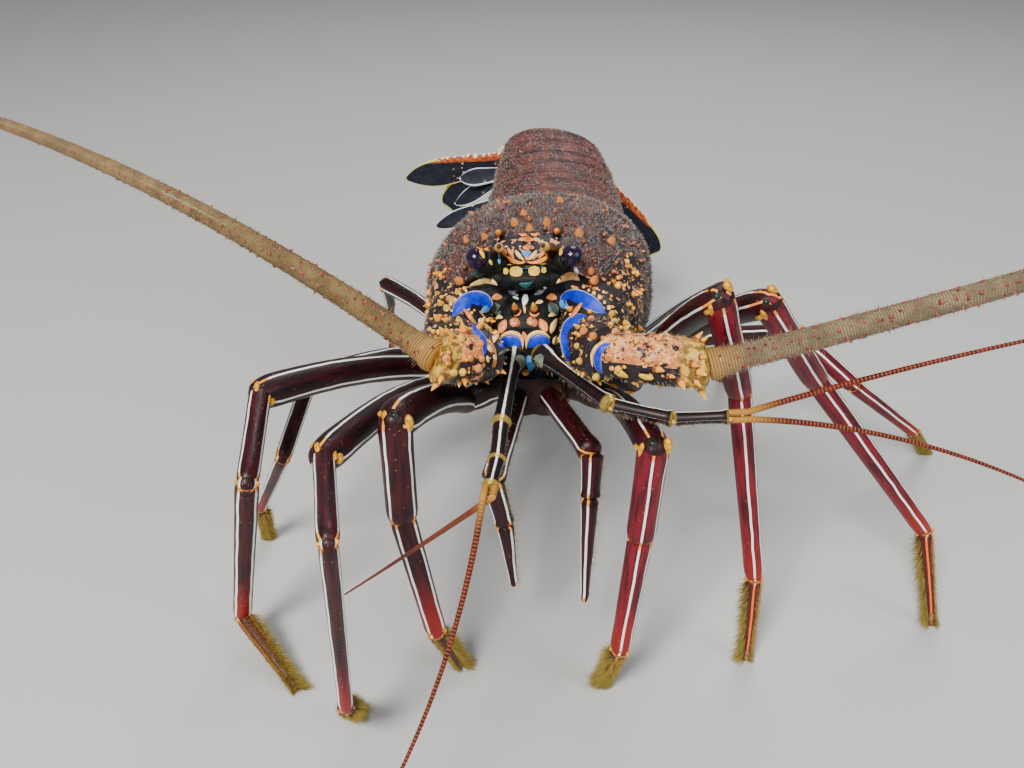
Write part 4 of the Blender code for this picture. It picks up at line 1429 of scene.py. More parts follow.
    def cheek_beads(self) -> Draft:
        """Dense pale and orange beads on the black parts.

        Returns:
            All of them as one mesh.
        """
        y = RANDOM.uniform(self.front + 1, -30.0, self.cheek_count)
        angle = np.radians(RANDOM.uniform(-35, 215, self.cheek_count))
        spots, black = self.spots(y, angle)
        aside = np.abs(self.surface(y, angle)[:, 0])
        flank = np.clip((aside - 35.0) / 7.0, 0, 1)
        keep = (black > 0.45) & (aside > 20) & (RANDOM.random(len(y)) > flank * 0.55)
        spots = self.head.clear(spots.only(keep), 0.8)
        count = len(spots.roots)
        size = 0.6 + 2.3 * RANDOM.random(count) ** 2.0
        aims = spots.aims(0.8)
        flat = RANDOM.random(count) < 0.6
        beads = scatter(self.shapes.bead, spots.roots[flat], aims[flat], 0.55 * size[flat], 0.8 * size[flat])
        spikes = scatter(self.shapes.spine, spots.roots[~flat], aims[~flat], 0.5 * size[~flat],
                         1.5 * size[~flat])
        return merge([beads, spikes])

    def fuzz(self) -> Draft:
        """Coat of short grey tufts.

        Returns:
            All of them as one mesh.
        """
        count = self.tufts
        y = RANDOM.uniform(self.front + 2, self.rear - 2, count)
        angle = np.radians(RANDOM.uniform(-25, 205, count))
        spots, black = self.spots(y, angle, 0.2)
        patchy = ripple(np.stack([y, angle * 45, y * 0], -1), 18.0, 5) + RANDOM.normal(0, 0.5, count)
        spots = self.head.clear(spots.only((patchy > -0.7) & (black < 0.3)), 0.2)
        found = len(spots.roots)
        lean = spots.forward * RANDOM.uniform(-0.5, 1.2, found)[:, None] + RANDOM.normal(0, 0.7, (found, 3))
        return scatter(self.shapes.hair, spots.roots, spots.outward * 0.7 + lean,
                       RANDOM.uniform(0.16, 0.36, found), RANDOM.uniform(1.0, 3.3, found), spots.patch)

    def horns(self) -> tuple[Draft, Draft]:
        """The front pair, curved forward over the eyes, and the straight pair behind it.

        Returns:
            The front pair and the rear pair.
        """
        front, rear = [], []
        knots = np.array(((12.0, -57.0, 59.0), (9.6, -75.5, 67.0), (8.1, -87.0, 69.8)))
        share = np.linspace(0, 1, 40)[:, None]
        end = np.sqrt(1 - np.clip((share[:, 0] - 0.86) / 0.142, 0, 1) ** 2)
        for side in Side:
            mirror = (side.sign, 1, 1)
            first = knots[0] * (1 - share) + knots[1] * share
            path = place((first * (1 - share) + (knots[1] * (1 - share) + knots[2] * share) * share) * mirror)
            radius = (4.1 - 3.1 * share[:, 0] ** 0.9) * end + 0.05
            rings = sections_along(path, BODY_UP, radius, radius * 1.08, sides=26)
            front.append(tube(rings))
            angle = math.acos(side.sign * (11.6 / 43.8) ** 1.075)
            root, normal, forward = self.outside(np.array([-50.0]), np.array([angle]))
            start = root[0] - normal[0] * 1.5
            path = start + unit(normal[0] * 0.55 + forward[0]) * 13.0 * share
            radius = (2.9 - 2.1 * share[:, 0]) * end + 0.05
            rings = sections_along(path, BODY_UP, radius, radius, sides=22)
            rear.append(tube(rings))
        return merge(front), merge(rear)

    def __post_init__(self) -> None:
        """Works the shield out, so that marks can lie on it."""
        self.cover = self.shell()
        self.head.add(self.cover)

    def build(self) -> None:
        """Makes the shield, its horns, spines and fuzz."""
        piece("carapace_shell", self.cover, [ShellFinish("carapace shell")], ["carapace"])
        pink = SpineFinish("carapace spine", (0.030, 0.012, 0.010), (0.66, 0.17, 0.065),
                           (0.84, 0.42, 0.20), 0.3, 0.5)
        fine = SpineFinish("carapace small spine", (0.05, 0.018, 0.014), (0.42, 0.13, 0.075),
                           (0.66, 0.30, 0.14), 0.4, 0.45)
        bead = SpineFinish("cheek bead", (0.10, 0.022, 0.006), (0.82, 0.27, 0.012), (0.97, 0.60, 0.06),
                           0.35, 0.2)
        spines = merge([self.large_spines().painted(0), self.fine_spines().painted(1),
                        self.cheek_beads().painted(2)])
        piece("carapace_spines", spines, [pink, fine, bead])
        front, rear = self.horns()
        piece("front_horns", front, [HornFinish("front horn", (0.97, 0.62, 0.16), 0.86, 0.952)])
        piece("rear_horns", rear, [HornFinish("rear horn", (0.90, 0.27, 0.015), 0.86, 1.1)])
        fuzz = HairFinish("carapace fuzz", (0.11, 0.105, 0.10), (0.32, 0.30, 0.28), (0.040, 0.032, 0.030))
        piece("carapace_fuzz", self.fuzz(), [fuzz])


@dataclass
class Underside:
    """Ridged plate between the walking legs."""

    stations: int = 60

    def build(self) -> None:
        """Makes the plate, with one rib for each pair of legs."""
        (front, _), (rear, _) = STERNUM_ENDS
        y = np.linspace(front, rear, self.stations)
        half = sternum_half(y)
        rib = 0.8 * np.cos((y - front) / (rear - front) * 5 * 2 * math.pi)
        top, side, keel = STERNUM_HEIGHTS
        outline = ((1, top), (0.5, top), (-0.5, top), (-1, top), (-1.0, 4.0), (-1, side), (-0.8, -5.2),
                   (-0.6, keel), (-0.3, keel), (0, keel + 0.8), (0.3, keel), (0.6, keel), (0.8, -5.2),
                   (1, side), (1.0, 4.0))
        rings = np.array([[(half[k] * x, y[k], z + (rib[k] if z < 0 else 0)) for x, z in outline]
                          for k in range(self.stations)])
        # Near-black colour of the plate: painted shade, made dark to stand for the deep shadow under the body
        finish = PlainShell("underside shell", (0.020, 0.009, 0.008), (0.060, 0.022, 0.016), 6.0, 0.5, 0.0)
        piece("underside_plate", skin(place(rings), {"local": rings}), [finish],
              ["sternum"], 30.0)


@dataclass
class Face:
    """Plate between the antennae, with its spines, and the two stalked eyes."""

    shapes: SmallShapes
    head: HeadSurface
    eye_centre: tuple = (18.4, -77.0, 63.5)
    eye_radius: float = 4.45
    stalk_root: tuple = (7.5, -66.0, 55.5)
    plate_spines: tuple = ((3.7, -79.4, 9.0, 2.2), (3.4, -82.0, 5.0, 1.7))

    def plate(self) -> Draft:
        """The plate between the antennae.

        Returns:
            Its mesh.
        """
        stations = ((-66.0, 1.0, 1.0), (-72.0, 1.0, 1.0), (-77.0, 0.99, 0.9), (-80.5, 0.95, 0.56),
                    (-84.0, 0.86, 0.16))
        y = np.linspace(-66.0, -84.0, 40)
        values = smooth_rows([(-row[0], *row[1:]) for row in stations], -y)
        path = place(np.stack([y * 0, y, y * 0 + 35.25], -1))
        half_high = 12.25
        end = np.clip((y + 84.4) / 1.6, 0.55, 1) ** 0.5
        rings = sections_along(path, BODY_UP, 12.6 * values[:, 0] * end, half_high * values[:, 1] * end,
                               np.full(40, half_high) * end, 48, (2.6, 2.6), np.tile(-BODY_BACK, (40, 1)))
        return tube(rings)

    def bridge(self) -> Draft:
        """Band that joins the two eyestalks.

        Returns:
            Its mesh.
        """
        x = np.linspace(-12.0, 12.0, 40)
        path = place(np.stack([x, -71.0 - 3.2 * (1 - (x / 12.0) ** 2), 54.0 + 0 * x], -1))
        radius = 3.9 - 0.5 * np.cos(x / 12.0 * math.pi * 3) * 0.5
        rings = sections_along(path, BODY_UP, radius * 0.95, radius, sides=28)
        return tube(rings)

    def plate_spine(self, x: float, y: float, length: float, radius: float) -> Draft:
        """One spine of the plate, at a place on its sloping top.

        Args:
            x: Local place across.
            y: Station along the body.
            length: Its length.
            radius: Its radius.

        Returns:
            The spine.
        """
        top = 35.25 + 12.25 * (0.9 - 0.75 * (y + 77.0) / -7.0)
        root = place(np.array((x, y, top - 0.8)))
        return scatter(self.shapes.spine, root[None], (BODY_UP * 0.9 - BODY_BACK)[None], radius, length)

    def __post_init__(self) -> None:
        """Works the plate, the bridge, the stalks and the eyes out, so that marks can lie on them."""
        stalk = turned(20, ((0, 3.9), (20, 4.3), (52, 4.6), (76, 4.3), (90, 4.75), (97, 4.3), (100, 3.6)), 1)
        levels = np.radians(np.linspace(-52, 86, 15))
        ball = turned(36, [(50 + 50 * math.sin(a), 50 * math.cos(a)) for a in levels], 1)
        self.core = merge([self.plate().painted(0), self.bridge().painted(0)])
        self.stalks, self.eyes = {}, {}
        for side in Side:
            root, centre = side.place((self.stalk_root, self.eye_centre))
            aim = unit(centre - root)
            self.stalks[side] = stalk.stood(root, centre - aim * self.eye_radius * 0.55, BODY_UP)
            self.eyes[side] = ball.stood(centre - aim * self.eye_radius, centre + aim * self.eye_radius,
                                         BODY_UP, self.eye_radius / 50)
        self.head.add(self.core, *self.stalks.values(), *self.eyes.values())

    def build(self) -> None:
        """Makes the plate with its spines, the stalks and the eyes."""
        black = PlainShell("face shell", (0.004, 0.005, 0.006), (0.009, 0.012, 0.010), 2.5, 0.45, 0.0, 0.12)
        (x, y, *size), lower = self.plate_spines
        tall = merge([self.plate_spine(side.sign * x, y, *size) for side in Side])
        short = merge([self.plate_spine(side.sign * lower[0], *lower[1:]) for side in Side])
        tip = SpineFinish("plate spine", (0.012, 0.007, 0.005), (0.62, 0.20, 0.02), (0.92, 0.50, 0.06),
                          0.1, 0.56)
        low = SpineFinish("plate low spine", (0.76, 0.24, 0.08), (0.84, 0.36, 0.14), (0.30, 0.06, 0.01), 0.1)
        piece("face_plate", merge([self.core, tall.painted(1), short.painted(2)]),
              [black, tip, low], ["antennular_plate"])
        violet = PlainShell("eye", (0.005, 0.002, 0.012), (0.013, 0.003, 0.026), 1.5, 0.10, 0.4)
        dark = PlainShell("eyestalk", (0.004, 0.005, 0.005), (0.010, 0.013, 0.010), 2.0, 0.45, 0.0, 0.12)
        for side in Side:
            name = side.value
            piece(f"eyestalk_{name}_shell", self.stalks[side], [dark], [f"eyestalk_{name}"])
            piece(f"eye_{name}_ball", self.eyes[side], [violet], [f"eye_{name}"])


@dataclass
class Antenna:
    """Heavy three-part foot of an antenna and its long ringed whip."""

    shapes: SmallShapes
    head: HeadSurface
    side: Side
    root: tuple = (27.0, -66.0, 37.0)
    joints: tuple = ((26.0, -84.0, 141.5), (31.0, -106.0, 150.0), (66.0, -110.0, 150.0))
    yaws: tuple = (9.0, 16.0)
    rises: tuple = (15.0, 20.0)
    tan: Colour = (0.36, 0.27, 0.16)
    length: float = 430.0
    radii: tuple = (((13.2, 14.5), (11.0, 9.8)), ((11.0, 9.8), (9.2, 8.8)), ((7.6, 7.4), (8.2, 8.2)))
    foot_radius: float = 4.5
    tip_radius: float = 0.6
    ring_pitch: float = 1.0
    rows: int = 1720
    lanes: int = 6
    lane_pitch: float = 4.3
    cuff_spines: int = 10
    whip_hairs: int = 7000

    def segment(self, start: Array, end: Array, sizes: tuple, before: Array,
                after: Array) -> Array:
        """Sections of one part of the foot, whose ends lie in the planes of its joints.

        Args:
            start: Middle of its foot.
            end: Middle of its top.
            sizes: Half width and half height at both ends.
            before: Direction square to the joint's plane at its foot.
            after: The same at its top.

        Returns:
            Its sections.
        """
        count = 44
        share = np.linspace(0, 1, count)
        path = start + (end - start) * share[:, None]
        swell = 1 + 0.07 * np.sin(math.pi * share) + 0.05 * bell(share, 0.95, 0.04)
        swell = swell * (1 - 0.35 * bell(share, 1.0, 0.025)) * (1 - 0.25 * bell(share, 0.0, 0.03))
        (wide_a, high_a), (wide_b, high_b) = sizes
        wide = (wide_a + (wide_b - wide_a) * share) * swell
        high = (high_a + (high_b - high_a) * share) * swell
        aim = unit(end - start)
        blend = np.clip(1 - share / 0.4, 0, 1)[:, None], np.clip((share - 0.6) / 0.4, 0, 1)[:, None]
        along = aim * (1 - blend[0] - blend[1]) + before * blend[0] + after * blend[1]
        rings = sections_along(path, BODY_UP, wide, high, sides=64, powers=(2.3, 2.3), along=along)
        outward = unit(rings - path[:, None])
        relief = np.abs(ripple(rings, 5.0, 7)) * 0.4 + ripple(rings, 2.0, 8) * 0.15
        return rings + outward * (relief * np.sin(math.pi * share)[:, None])[..., None]

    def whip_rings(self) -> Array:
        """Sections of the long whip.

        Returns:
            Its sections.
        """
        path = turning_path(np.array(self.joints[2]), self.yaws, self.rises, self.length, self.rows)
        share = np.linspace(0, 1, len(path))
        run = share * self.length
        radius = self.foot_radius * (1 - share) ** 0.85 + self.tip_radius * share
        radius = radius * (1 + 0.035 * np.sin(run * 2 * math.pi / self.ring_pitch))
        radius = radius + 1.5 * bell(run, 2.0, 3.0) + 0.5 * bell(run, 8.0, 2.0) - 0.2 * bell(run, 14.0, 4.0)
        return sections_along(path, UP, radius, radius, sides=14)

    def __post_init__(self) -> None:
        """Works the foot and the whip out, so that marks can lie on the foot."""
        joints = [self.side.place(self.root), *np.array(self.joints, float)]
        self.whip = self.whip_rings()
        ahead = self.whip[40].mean(0)
        planes = [-BODY_BACK]
        for index in (1, 2, 3):
            after = joints[index + 1] if index < 3 else ahead
            planes.append(unit(unit(joints[index] - joints[index - 1]) + unit(after - joints[index])))
        self.skins = [self.segment(joints[k], joints[k + 1], self.radii[k], planes[k], planes[k + 1])
                      for k in range(3)]
        self.cores = [tube(rings) for rings in self.skins]
        self.head.add(*self.cores)

    def studs(self, rings: Array, index: int) -> Draft:
        """Spines and beads of one part of the foot, clear of the marks.

        Args:
            rings: Sections of the part.
            index: Number of the part, from 0 at the head.

        Returns:
            All of them as one mesh.
        """
        found = []
        spine, bead = self.shapes.spine, self.shapes.bead
        # Each row is a count, a size in millimetres, a radius as a share of the length and a shape
        plan = ((20, 3.6, 0.32, spine), (44, 1.7, 0.5, bead))
        if index == 2:
            plan = ((13, 4.4, 0.34, spine), (30, 1.3, 0.45, bead))
        for count, size, fat, shape in plan:
            spots = self.head.clear(spots_on(rings, count, (0.10, 0.92)), 0.6)
            length = size * (0.4 + 0.8 * RANDOM.random(len(spots.roots)) ** 1.3)
            found.append(scatter(shape, spots.roots, spots.aims(0.75), length * fat, length))
        if index == 2:
            sides, count = rings.shape[1], self.cuff_spines
            turn = sides * (np.arange(count) + RANDOM.uniform(-0.3, 0.3, count)) / count % sides
            spots = spots_at(rings, 39.0 + RANDOM.uniform(-3, 1.5, count), turn)
            length = RANDOM.uniform(2.6, 4.6, count)
            found.append(scatter(self.shapes.spine, spots.roots, spots.aims(0.9), length * 0.32, length))
        return merge(found)

    def build(self) -> None:
        """Makes the three segments, their spines and the whip with its barbs and hairs."""
        name = self.side.value
        stud = SpineFinish("antenna spine", (0.22, 0.045, 0.006), (0.84, 0.34, 0.012), (0.97, 0.66, 0.10),
                           0.4, 0.25)
        hair = HairFinish("antenna hair", (0.24, 0.17, 0.10), (0.56, 0.46, 0.32), (0.07, 0.04, 0.03))
        shells = [PeduncleFinish("antenna foot shell", -0.22),
                  PeduncleFinish("antenna end shell", 0.12, golden=0.74)]
        tufts = []
        for index, part in enumerate(("base", "middle", "end")):
            rings = self.skins[index]
            whole = merge([self.cores[index].painted(0), self.studs(rings, index).painted(1)])
            piece(f"antenna_{name}_{part}_shell", whole, [shells[index // 2], stud],
                  [f"antenna_{name}_{part}"])
            spots = self.head.clear(spots_on(rings, 520))
            tufts.append(scatter(self.shapes.hair, spots.roots, spots.aims(0.8), 0.12,
                                 RANDOM.uniform(0.9, 2.2, len(spots.roots)),
                                 spots.patch * (0.3, 1.0) + (index * 0.33, 0.0)))
        piece(f"antenna_{name}_fuzz", merge(tufts), [hair])
        self.build_whip(name, hair)

    def build_whip(self, name: str, hair: Finish) -> None:
        """Makes the whip, its rows of tubercles and barbs, and its fine hairs.

        Args:
            name: Name of its side.
            hair: Finish of its hairs.
        """
        nodes = [f"antenna_{name}_flagellum_{part}" for part in ("inner", "middle", "outer")]
        finish = WhipFinish(f"antenna {name} rings", self.tan, self.ring_pitch)
        piece(f"antenna_{name}_whip", tube(self.whip), [finish], nodes)
        rows, sides = self.whip.shape[:2]
        step = rows / self.length * self.lane_pitch
        row, turn = [], []
        for lane in range(self.lanes):
            here = np.arange(step * (2.2 + 0.5 * (lane % 2)), rows * 0.93, step)
            row.append(here + RANDOM.uniform(-0.7, 0.7, len(here)))
            turn.append((sides * lane / self.lanes + 1 + RANDOM.uniform(-0.3, 0.3, len(here))) % sides)
        spots = spots_at(self.whip, np.concatenate(row), np.concatenate(turn))
        taper = 1.1 - spots.patch[:, 0]
        size = taper * RANDOM.uniform(0.5, 1.1, len(taper))
        knobs = scatter(self.shapes.bead, spots.roots, spots.outward, 0.85 * size, 0.7 * size, sink=0.3)
        barbs = scatter(self.shapes.barb, spots.roots + spots.outward * 0.2 * size[:, None],
                        spots.aims(0.8), 0.36 * size, 1.9 * size)
        red = SpineFinish("antenna knob", (0.12, 0.014, 0.008), (0.22, 0.022, 0.010), (0.30, 0.05, 0.02))
        barb = SpineFinish("antenna barb", (0.14, 0.03, 0.012), (0.34, 0.13, 0.035), (0.04, 0.015, 0.01))
        piece(f"antenna_{name}_barbs", merge([knobs.painted(0), barbs.painted(1)]),
              [red, barb])
        spots = spots_on(self.whip, self.whip_hairs, (0.01, 0.97))
        length = RANDOM.uniform(0.7, 2.7, len(spots.roots)) * (1.25 - spots.patch[:, 0])
        hairs = scatter(self.shapes.hair, spots.roots, spots.aims(0.7), 0.075, length, spots.patch)
        piece(f"antenna_{name}_hairs", hairs, [hair])


@dataclass
class Antennule:
    """Slender jointed foot of a feeler and its two fine whips."""

    shapes: SmallShapes
    side: Side
    joints: tuple
    whips: dict
    root: tuple = (4.8, -82.0, 27.0)
    radii: tuple = (3.3, 3.0, 2.7, 2.4)

    def foot(self, joints: list[Array]) -> tuple[list, list]:
        """Sections of the three segments and the hair places under them.

        Args:
            joints: Ends of the segments.

        Returns:
            The sections and the hair places, one entry for each segment.
        """
        skins, hairs = [], []
        for index in range(3):
            start, end = joints[index], joints[index + 1]
            share = np.linspace(0, 1, 30)
            near, far = self.radii[index:index + 2]
            size = near * (1 - 0.12 * np.sin(math.pi * share)) + (far - near) * share * 0.6
            ends = np.where((share < 0.01) | (share > 0.99), 0.7, 1)
            size = size * (1 + 0.22 * bell(share, 0.97, 0.05)) * ends
            if index == 0:
                size = size + 1.7 * bell(share, 0.08, 0.14)
            skins.append(sections_along(start + (end - start) * share[:, None], UP, size, size, sides=28))
            hairs.append(spots_on(skins[-1], 150, (0.05, 0.95), (0.5, 1.0)))
        return skins, hairs

    def build(self) -> None:
        """Makes the three segments and both whips."""
        name = self.side.value
        joints = [self.side.place(self.root), *np.array(self.joints, float)]
        skins, hairs = self.foot(joints)
        base_end = joints[0] + unit(joints[1] - joints[0]) * 11.0
        share = np.linspace(0, 1, 24)
        swell = np.sin(math.pi * np.clip(share * 0.9 + 0.12, 0, 1)) ** 0.35
        block = sections_along(joints[0] + (base_end - joints[0]) * share[:, None], BODY_UP, 4.9 * swell,
                               4.4 * swell, sides=30)
        green = PlainShell("feeler block", (0.07, 0.10, 0.07), (0.22, 0.25, 0.17), 3.0, 0.45, 0.05)
        parts = [tube(rings).painted(0) for rings in skins]
        parts.append(tube(block).painted(1))
        piece(f"feeler_{name}_foot", merge(parts), [FeelerFinish("feeler foot", False), green],
              [f"antennule_{name}_peduncle"])
        condyle = PlainShell("feeler button", (0.42, 0.22, 0.03), (0.80, 0.50, 0.08), 1.5)
        caps = []
        for joint, radius in zip(joints[1:], self.radii[1:]):
            aside = unit(np.cross(joints[3] - joints[2], UP))
            spots = np.array([joint + UP * radius * 0.8, joint - UP * radius * 0.6,
                              joint + aside * radius * 0.8])
            caps.append(scatter(self.shapes.bead, spots, spots - joint, 0.85, 0.8))
        piece(f"feeler_{name}_buttons", merge(caps), [condyle])
        hair = HairFinish("feeler hair", (0.25, 0.16, 0.08), (0.60, 0.48, 0.32), (0.10, 0.05, 0.03))
        piece(f"feeler_{name}_hairs", merge([
            scatter(self.shapes.hair, spots.roots, spots.aims(0.5), 0.08,
                    RANDOM.uniform(0.8, 2.4, len(spots.roots)), spots.patch * (0.3, 1) + (0.33 * index, 0))
            for index, spots in enumerate(hairs)]), [hair])
        aim = unit(joints[3] - joints[2])
        across = unit(np.cross(aim, UP))
        if self.side is Side.LEFT:
            across = -np.cross(across, aim)
        ringed = FeelerFinish("feeler rings", True)
        for branch, offset in (("outer", -1.0), ("inner", 1.0)):
            yaws, rises, length = self.whips[branch]
            start = joints[3] + across * offset * 1.5
            bend = turning_path(start + aim * 6.0, yaws, rises, length, 480)
            path = np.concatenate([[start, start + aim * 3.0], bend])
            share = np.linspace(0, 1, len(path))
            radius = (1.15 - 0.8 * share) * (1 + 0.05 * np.sin(share * length * 2 * math.pi / 1.3))
            rings = sections_along(path, UP, radius, radius, sides=10)
            piece(f"feeler_{name}_{branch}", tube(rings), [ringed],
                  [f"antennule_{name}_{branch}"])


@dataclass(frozen=True)
class LimbParts:
    """Straight leg segments, one hundred long, and the small parts of a joint."""

    hip: Draft
    merus: Draft
    carpus: Draft
    propodus: Draft
    dactyl: Draft
    claw: Draft
    ball: Draft
    collar: Draft


def limb_parts() -> LimbParts:
    """Models every segment of a walking leg once.

    Returns:
        The parts.
    """
    levels = np.radians(np.linspace(-80, 80, 9))
    return LimbParts(
        hip=turned(16, ((0, 6.0), (8, 6.6, 6.4), (34, 6.2, 6.0), (44, 5.6, 5.5), (52, 6.4, 6.2),
                        (82, 6.3, 6.0), (95, 5.6, 5.4), (100, 4.6, 4.4)), 1),
        merus=turned(16, ((-2, 3.0), (0, 4.6, 4.8), (3, 5.2, 5.5), (12, 4.8, 5.3), (35, 5.1, 5.8),
                          (62, 5.4, 6.2), (85, 5.7, 6.6), (94, 6.0, 6.8), (99, 5.6, 6.2), (102.5, 4.4, 4.8),
                          (104, 2.8, 3.2)), 1),
        carpus=turned(16, ((-9, 2.6), (-6, 4.2, 4.4), (0, 5.2, 5.4), (8, 5.5, 5.8), (20, 5.2, 5.6),
                           (55, 5.1, 5.7), (80, 5.1, 6.0), (92, 5.2, 6.1), (99, 4.7, 5.3),
                           (104, 3.2, 3.4)), 1),
        propodus=turned(16, ((-3, 2.8), (0, 4.0, 4.3), (5, 4.3, 4.7), (14, 4.1, 4.6), (50, 3.9, 4.5),
                             (85, 3.5, 4.0), (94, 3.8, 4.2), (99, 3.3, 3.6), (101.5, 2.3)), 1),
        dactyl=turned(14, ((-5, 1.8), (0, 2.7, 2.8), (6, 3.1, 3.2), (20, 2.9, 3.0), (55, 2.5, 2.6),
                           (78, 2.0, 2.1), (88, 1.75, 1.8)), 1),
        claw=turned(10, ((78, 1.5, 1.6), (86, 1.6, 1.7), (94, 1.45, 1.5), (99, 1.3), (100, 1.2)), 1),
        ball=turned(16, [(50 + 50 * math.sin(a), math.cos(a)) for a in levels], 1),
        collar=turned(18, ((0, 0.86), (22, 0.94), (50, 0.9), (78, 0.94), (100, 0.86)), 1),
    )


POINT_LOBES = ((-0.88, 0.30, 0.0, 0.30, 0.20, LimbLook.LOBE), (0.88, 0.30, 0.0, 0.30, 0.20, LimbLook.LOBE))
KNEE_LOBES = (
    (-0.86, 0.42, 0.12, 0.60, 0.34, LimbLook.LOBE), (0.68, 0.60, 0.36, 0.56, 0.23, LimbLook.LOBE),
    (-0.48, 0.74, 0.62, 0.50, 0.14, LimbLook.LOBE), (0.96, 0.22, -0.25, 0.40, 0.22, LimbLook.LOBE),
    (0.05, 0.74, -0.10, 0.42, 0.34, LimbLook.SOCKET), (0.30, 0.84, -0.50, 0.26, 0.13, LimbLook.LOBE),
)


class JointKind(Enum):
    """Joint of a leg: its cover's number, half the width of its skin in millimetres, and its lobes.

    A lobe is its place across, towards the viewer and along, its half length and half width, all
    as shares of the joint's radius, and its finish.
    """

    HIP = (0.0, 0.5, POINT_LOBES)
    KNEE = (0.5, 0.0, KNEE_LOBES)
    WRIST = (2.0, 0.3, POINT_LOBES)
    ANKLE = (3.0, 0.7, POINT_LOBES)


@dataclass
class Leg:
    """One walking leg, from its hip on the underside to its foot on the floor."""

    shapes: SmallShapes
    parts: LimbParts
    looks: list
    side: Side
    pair: int
    lengths: tuple
    girth: float
    hip: tuple
    pose: tuple
    bristles: int = 3400
    hip_radius: float = 5.6
    knee_radius: float = 5.4
    wrist_radius: float = 4.35
    ankle_radius: float = 3.7
    thigh_bow: float = 0.05
    root_sunk: float = 0.12

    def __post_init__(self) -> None:
        """Works the joints out."""
        self.path = self.joints()

    def joints(self) -> list[Array]:
        """Root, hip, knee, wrist, ankle and foot.

        Returns:
            The six places in the animal's frame.
        """
        size, merus, carpus, propodus, dactyl_yaw = self.pose
        lengths = [size * length for length in self.lengths]
        y = self.hip[1]
        middle = (STERNUM_HEIGHTS[0] + STERNUM_HEIGHTS[1]) / 2
        joints = [*self.side.place(((sternum_half(y), y, middle), self.hip))]
        for length, turn in zip(lengths, (merus, carpus, propodus)):
            joints.append(joints[-1] + heading(*turn) * length)
        drop = math.degrees(math.asin(min(joints[-1][2] / lengths[3], 0.995)))
        foot = joints[-1] + heading(dactyl_yaw, -drop) * lengths[3]
        foot[2] = 0.0
        return joints + [foot]

    def guide(self, aim: Array) -> Array:
        """Direction that the pale ridge of a segment faces: forward and up, where the photo sees it."""
        toward = unit(CAMERA_PLACE - self.path[3])
        return toward if abs(float(aim @ toward)) < 0.96 else UP

    def joint_parts(self, before: Array, joint: Array, after: Array, radius: float,
                    kind: JointKind) -> list:
        """Rounded cover, a thin ring of skin and the golden lobes of one joint.

        Args:
            before: The joint before it.
            joint: The joint.
            after: The joint after it.
            radius: Its radius.
            kind: Which joint it is.

        Returns:
            Its parts with their finish numbers.
        """
        thigh, shin = unit(joint - before), unit(after - joint)
        along = unit(thigh + shin)
        axis = unit(np.cross(along, self.guide(along)))
        toward = np.cross(axis, along)
        number, skin_width, lobes = kind.value
        ball, collar = self.parts.ball, self.parts.collar
        reach = along * radius * 0.96
        cover = ball.stood(joint - reach, joint + reach, toward, radius * 0.93, number)
        found = [cover.painted(LimbLook.SHELL)]
        if skin_width:
            reach = shin * skin_width
            ring = collar.stood(joint - reach, joint + reach, toward, radius * 1.04)
            found.append(ring.painted(LimbLook.SKIN))
        for across, ahead, run, half, wide, look in lobes:
            way = shin if run > 0 else thigh
            spot = joint + (axis * across + toward * ahead + way * run) * radius
            reach = way * half * radius
            found.append(ball.stood(spot - reach, spot + reach, toward, wide * radius).painted(look))
        return found

    def slimness(self, kind: float) -> tuple[float, float]:
        """Factors across and along the view on the thickness of one kind of segment.

        Args:
            kind: The segment's kind number.

        Returns:
            The two factors.
        """
        if kind not in (1.0, 2.0, 3.0):
            return 1.0 + 0.2 * (kind == 4.0), 1.0
        index = int(kind) - 1
        across, along = LEG_SLIMNESS[self.side][index]
        return across * LEG_WIDTHS.get((self.side, self.pair), (1.0, 1.0, 1.0))[index], along

    def segment(self, part: Draft, start: Array, end: Array, kind: float, bow: float = 0.0) -> Draft:
        """One segment of the leg, bowed upward.

        Args:
            part: The straight segment.
            start: Where it starts.
            end: Where it ends.
            kind: Its kind number, from 0 at the hip.
            bow: How far its middle is raised, in millimetres.

        Returns:
            The segment.
        """
        girth = tuple(self.girth * factor for factor in self.slimness(kind))
        placed = part.stood(start, end, self.guide(unit(end - start)), girth, kind)
        if bow:
            share = np.clip(placed.fields["span"][:, 0] / np.linalg.norm(end - start), 0, 1)
            placed.points = placed.points + UP * (np.sin(math.pi * share) * bow)[:, None]
        return placed

    def bristle_rows(self, ankle: Array, foot: Array) -> Draft:
        """Dense brush on the last segment, longest on its inner side.

        Args:
            ankle: Start of the last segment.
            foot: End of it.

        Returns:
            All of them as one mesh.
        """
        count = self.bristles
        axis = foot - ankle
        aim = unit(axis)
        guide = self.guide(aim)
        x = unit(np.cross(aim, guide))
        y = np.cross(x, aim)
        share = RANDOM.uniform(0.02, 0.99, count) ** 0.85
        turn = RANDOM.uniform(0, 2 * math.pi, count)
        outward = x * np.cos(turn)[:, None] + y * np.sin(turn)[:, None]
        facing = outward @ unit(guide)
        inner = np.clip(outward @ np.array((-self.side.sign, 0.35, 0.0)), 0, 1)
        keep = facing < (0.78 if self.side is Side.LEFT else 1.1 - 0.5 * (self.pair == 1))
        share, turn, outward, inner = share[keep], turn[keep], outward[keep], inner[keep]
        roots = ankle + axis * share[:, None] + outward * ((3.0 - 1.2 * share) * self.girth * 0.95)[:, None]
        length = RANDOM.uniform(1.2, 2.6, len(share)) + RANDOM.uniform(2.4, 5.0, len(share)) * inner ** 0.7
        length = length * (1 + 0.5 * share ** 5)
        aims = outward + aim * (0.55 + 0.5 * share)[:, None] + RANDOM.normal(0, 0.20, outward.shape)
        patch = np.stack([share, turn / (2 * math.pi) % 1.0], -1)
        tufts = scatter(self.shapes.hair, roots, aims, RANDOM.uniform(0.09, 0.16, len(share)),
                        length * self.girth, patch)
        tufts.points[:, 2] = np.maximum(tufts.points[:, 2], 0.15)
        return tufts

